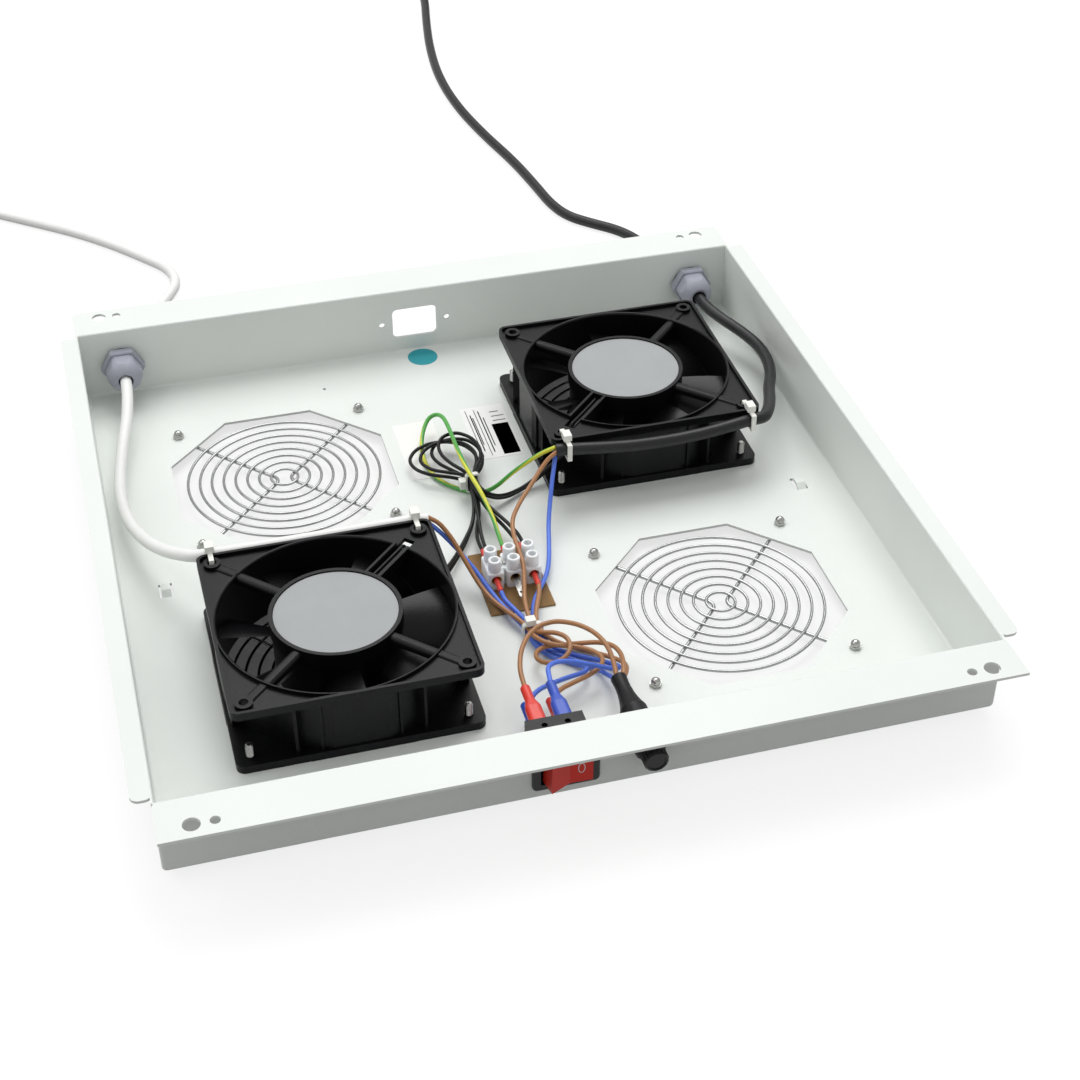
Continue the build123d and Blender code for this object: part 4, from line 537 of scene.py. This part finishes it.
def flat_shapes(name, outlines, thickness):
    """Thin printed shapes, each an outline of points on one level, given a little thickness."""
    shape = bmesh.new()
    for outline in outlines:
        face = shape.faces.new([shape.verts.new(spot) for spot in outline])
        face.normal_update()
        moved = bmesh.ops.extrude_face_region(shape, geom=[face])
        lifted = [item for item in moved["geom"] if isinstance(item, bmesh.types.BMVert)]
        bmesh.ops.translate(shape, verts=lifted, vec=face.normal * thickness)
    bmesh.ops.recalc_face_normals(shape, faces=shape.faces[:])
    return mesh_piece(name, shape)


def build_label_print():
    """Plain bars and a dark panel where the rating label carries its print."""
    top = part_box("floor_labels")[1].z
    ink = material("label_ink", linear(52, 52, 54), 0.4, tint=0.1, tint_scale=400, grain=0.05)
    outlines = [
        [(left, near, top), (right, near, top), (right, far, top), (left, far, top)]
        for left, near, right, far in (label_panel,) + long_bars + cross_bars
    ]
    bars = flat_shapes("label_bars", outlines, print_thickness)
    bars.data.materials.append(ink)
    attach(bars, "tray_assembly")


def build_rocker_mark():
    """Plain ring on the off end of the rocker."""
    tilt = joints["rocker_tilt"]
    low, high = tilt["range_deg"]
    turn = Matrix.Rotation(math.radians((high - low) / 2), 4, "Z")
    pivot = Vector(tilt["pos_m"])
    slope = math.atan2(rocker_middle - rocker_edge, rocker_half)
    face_dir = Vector((math.cos(slope), math.sin(slope), 0))
    out_dir = Vector((math.sin(slope), -math.cos(slope), 0))
    outer = (ring_half_width, ring_half_height)
    inner = (ring_half_width * ring_inner_width_share, ring_half_height * ring_inner_height_share)
    profile = ((outer, 0.0), (outer, ring_thickness), (inner, ring_thickness), (inner, 0.0))
    shape = bmesh.new()
    rings = []
    for step in range(ring_steps):
        angle = 2 * math.pi * step / ring_steps
        ring = []
        for (wide, tall), lift in profile:
            spot = Vector(ring_place) + face_dir * wide * math.cos(angle) + out_dir * lift
            spot.z += tall * math.sin(angle)
            ring.append(shape.verts.new(pivot + turn @ spot))
        rings.append(ring)
    for first, second in zip(rings, rings[1:] + rings[:1]):
        for step in range(3):
            shape.faces.new((first[step], first[step + 1], second[step + 1], second[step]))
    ring = mesh_piece("off_ring", shape)
    ring.data.materials.append(material("white_print", linear(235, 235, 232), 0.4, tint=0.03, grain=0.03))
    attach(ring, "rocker")


def build_materials():
    """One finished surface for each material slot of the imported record."""
    return {
        "tray_steel": material(
            "powder_coat", linear(229, 233, 229), 0.42, tint=0.018, tint_scale=14, grain=0.22,
            grain_scale=1500, rough_spread=0.1,
        ),
        "teal_sticker": material("teal_vinyl", linear(30, 160, 172), 0.32, tint=0.03, grain=0.05),
        "white_label": material("label_film", linear(240, 240, 238), 0.35, tint=0.015, grain=0.05),
        "silver_label": material(
            "silver_film", linear(158, 161, 162), 0.5, tint=0.03, tint_scale=60, grain=0.1,
            grain_scale=2600,
        ),
        "kraft_card": material(
            "pressed_board", linear(143, 111, 69), 0.85, tint=0.14, tint_scale=260, grain=0.35,
            grain_scale=1400, stretch=(1, 0.35, 1),
        ),
        "plated_steel": material(
            "zinc_plate", linear(182, 182, 179), 0.24, metallic=1.0, tint=0.08, tint_scale=400,
            grain=0.1, grain_scale=2500,
        ),
        "clear_nylon": material(
            "milky_nylon", linear(240, 243, 245), 0.3, tint=0.02, tint_scale=120, grain=0.06,
            grain_scale=1200, milky=0.6,
        ),
        "brass": material(
            "turned_brass", linear(196, 160, 84), 0.3, metallic=1.0, tint=0.08, tint_scale=300,
        ),
        "red_nylon": material(
            "red_sleeve", linear(222, 62, 50), 0.32, tint=0.06, tint_scale=150, grain=0.06,
        ),
        "red_rocker": material(
            "red_rocker", linear(214, 50, 38), 0.42, tint=0.04, grain=0.04, specular=0.25,
        ),
        "blue_nylon": material(
            "blue_sleeve", linear(52, 84, 188), 0.32, tint=0.06, tint_scale=150, grain=0.06,
        ),
        "black_nylon": material(
            "black_nylon", linear(16, 16, 18), 0.38, tint=0.15, tint_scale=200, grain=0.12,
            grain_scale=1800, specular=0.3,
        ),
        "ceramic_link": material("ceramic_tube", linear(226, 220, 205), 0.25, tint=0.03, grain=0.04),
        "shrink_black": material(
            "shrink_tube", linear(15, 15, 16), 0.42, tint=0.15, tint_scale=90, grain=0.3,
            grain_scale=380, specular=0.28,
        ),
        "seal_rubber": material("seal_rubber", linear(38, 38, 40), 0.7, tint=0.1, grain=0.15),
        "gland_nylon": material(
            "grey_nylon", linear(160, 162, 174), 0.42, tint=0.05, tint_scale=140, grain=0.12,
            grain_scale=1500,
        ),
        "tie_nylon": material(
            "tie_nylon", linear(236, 236, 230), 0.4, tint=0.03, tint_scale=160, grain=0.08,
            grain_scale=1500,
        ),
        "black_cable": material(
            "black_cable", linear(24, 24, 26), 0.4, tint=0.12, tint_scale=60, grain=0.2,
            grain_scale=1100, specular=0.45,
        ),
        "black_rubber": material(
            "black_rubber", linear(28, 28, 30), 0.6, tint=0.12, tint_scale=60, grain=0.25,
        ),
        "white_cable": material(
            "white_cable", linear(240, 240, 238), 0.4, tint=0.02, tint_scale=60, grain=0.1,
            grain_scale=1100,
        ),
        "earth_insulation": material("earth_green", linear(96, 176, 60), 0.35, tint=0.05, grain=0.05),
        "black_lead": material(
            "black_lead", linear(14, 14, 15), 0.35, tint=0.15, tint_scale=90, grain=0.06, specular=0.3,
        ),
        "brown_insulation": material(
            "brown_core", linear(168, 118, 76), 0.35, tint=0.07, tint_scale=50, grain=0.05,
        ),
        "blue_insulation": material(
            "blue_core", linear(84, 120, 224), 0.35, tint=0.05, tint_scale=50, grain=0.05,
        ),
        "fan_cast": material(
            "cast_black", linear(12, 12, 14), 0.36, tint=0.2, tint_scale=45, grain=0.25,
            grain_scale=1300, specular=0.22,
        ),
        "fan_blades": material(
            "moulded_black", linear(12, 12, 14), 0.3, tint=0.15, tint_scale=45, grain=0.08,
            grain_scale=1500, specular=0.24,
        ),
        "stator_steel": material(
            "core_steel", linear(120, 116, 110), 0.45, metallic=1.0, tint=0.1, tint_scale=700,
        ),
        "guard_chrome": material(
            "bright_wire", linear(172, 173, 173), 0.22, metallic=1.0, tint=0.06, tint_scale=200,
            grain=0.06, grain_scale=2000,
        ),
    }


def dress_nodes(looks):
    """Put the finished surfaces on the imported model's own nodes."""
    slots = {part["node"]: part["material_slot"] for part in frame["record"]["subparts"]}
    for name, piece in frame["nodes"].items():
        piece.data.materials.clear()
        piece.data.materials.append(looks[slots[name]])


place_camera()
build_floor()
build_world()
add_lamp("key_lamp", place=(0.42, 1.3, 2.4), size=1.8, power=40.5)
add_lamp("fill_lamp", place=(-1.6, 0.5, 2.1), size=1.6, power=11)
looks = build_materials()
dress_nodes(looks)
build_mains_lead(looks)
build_stat_lead(looks)
build_earth_wire()
build_threads(looks)
build_label_print()
build_rocker_mark()
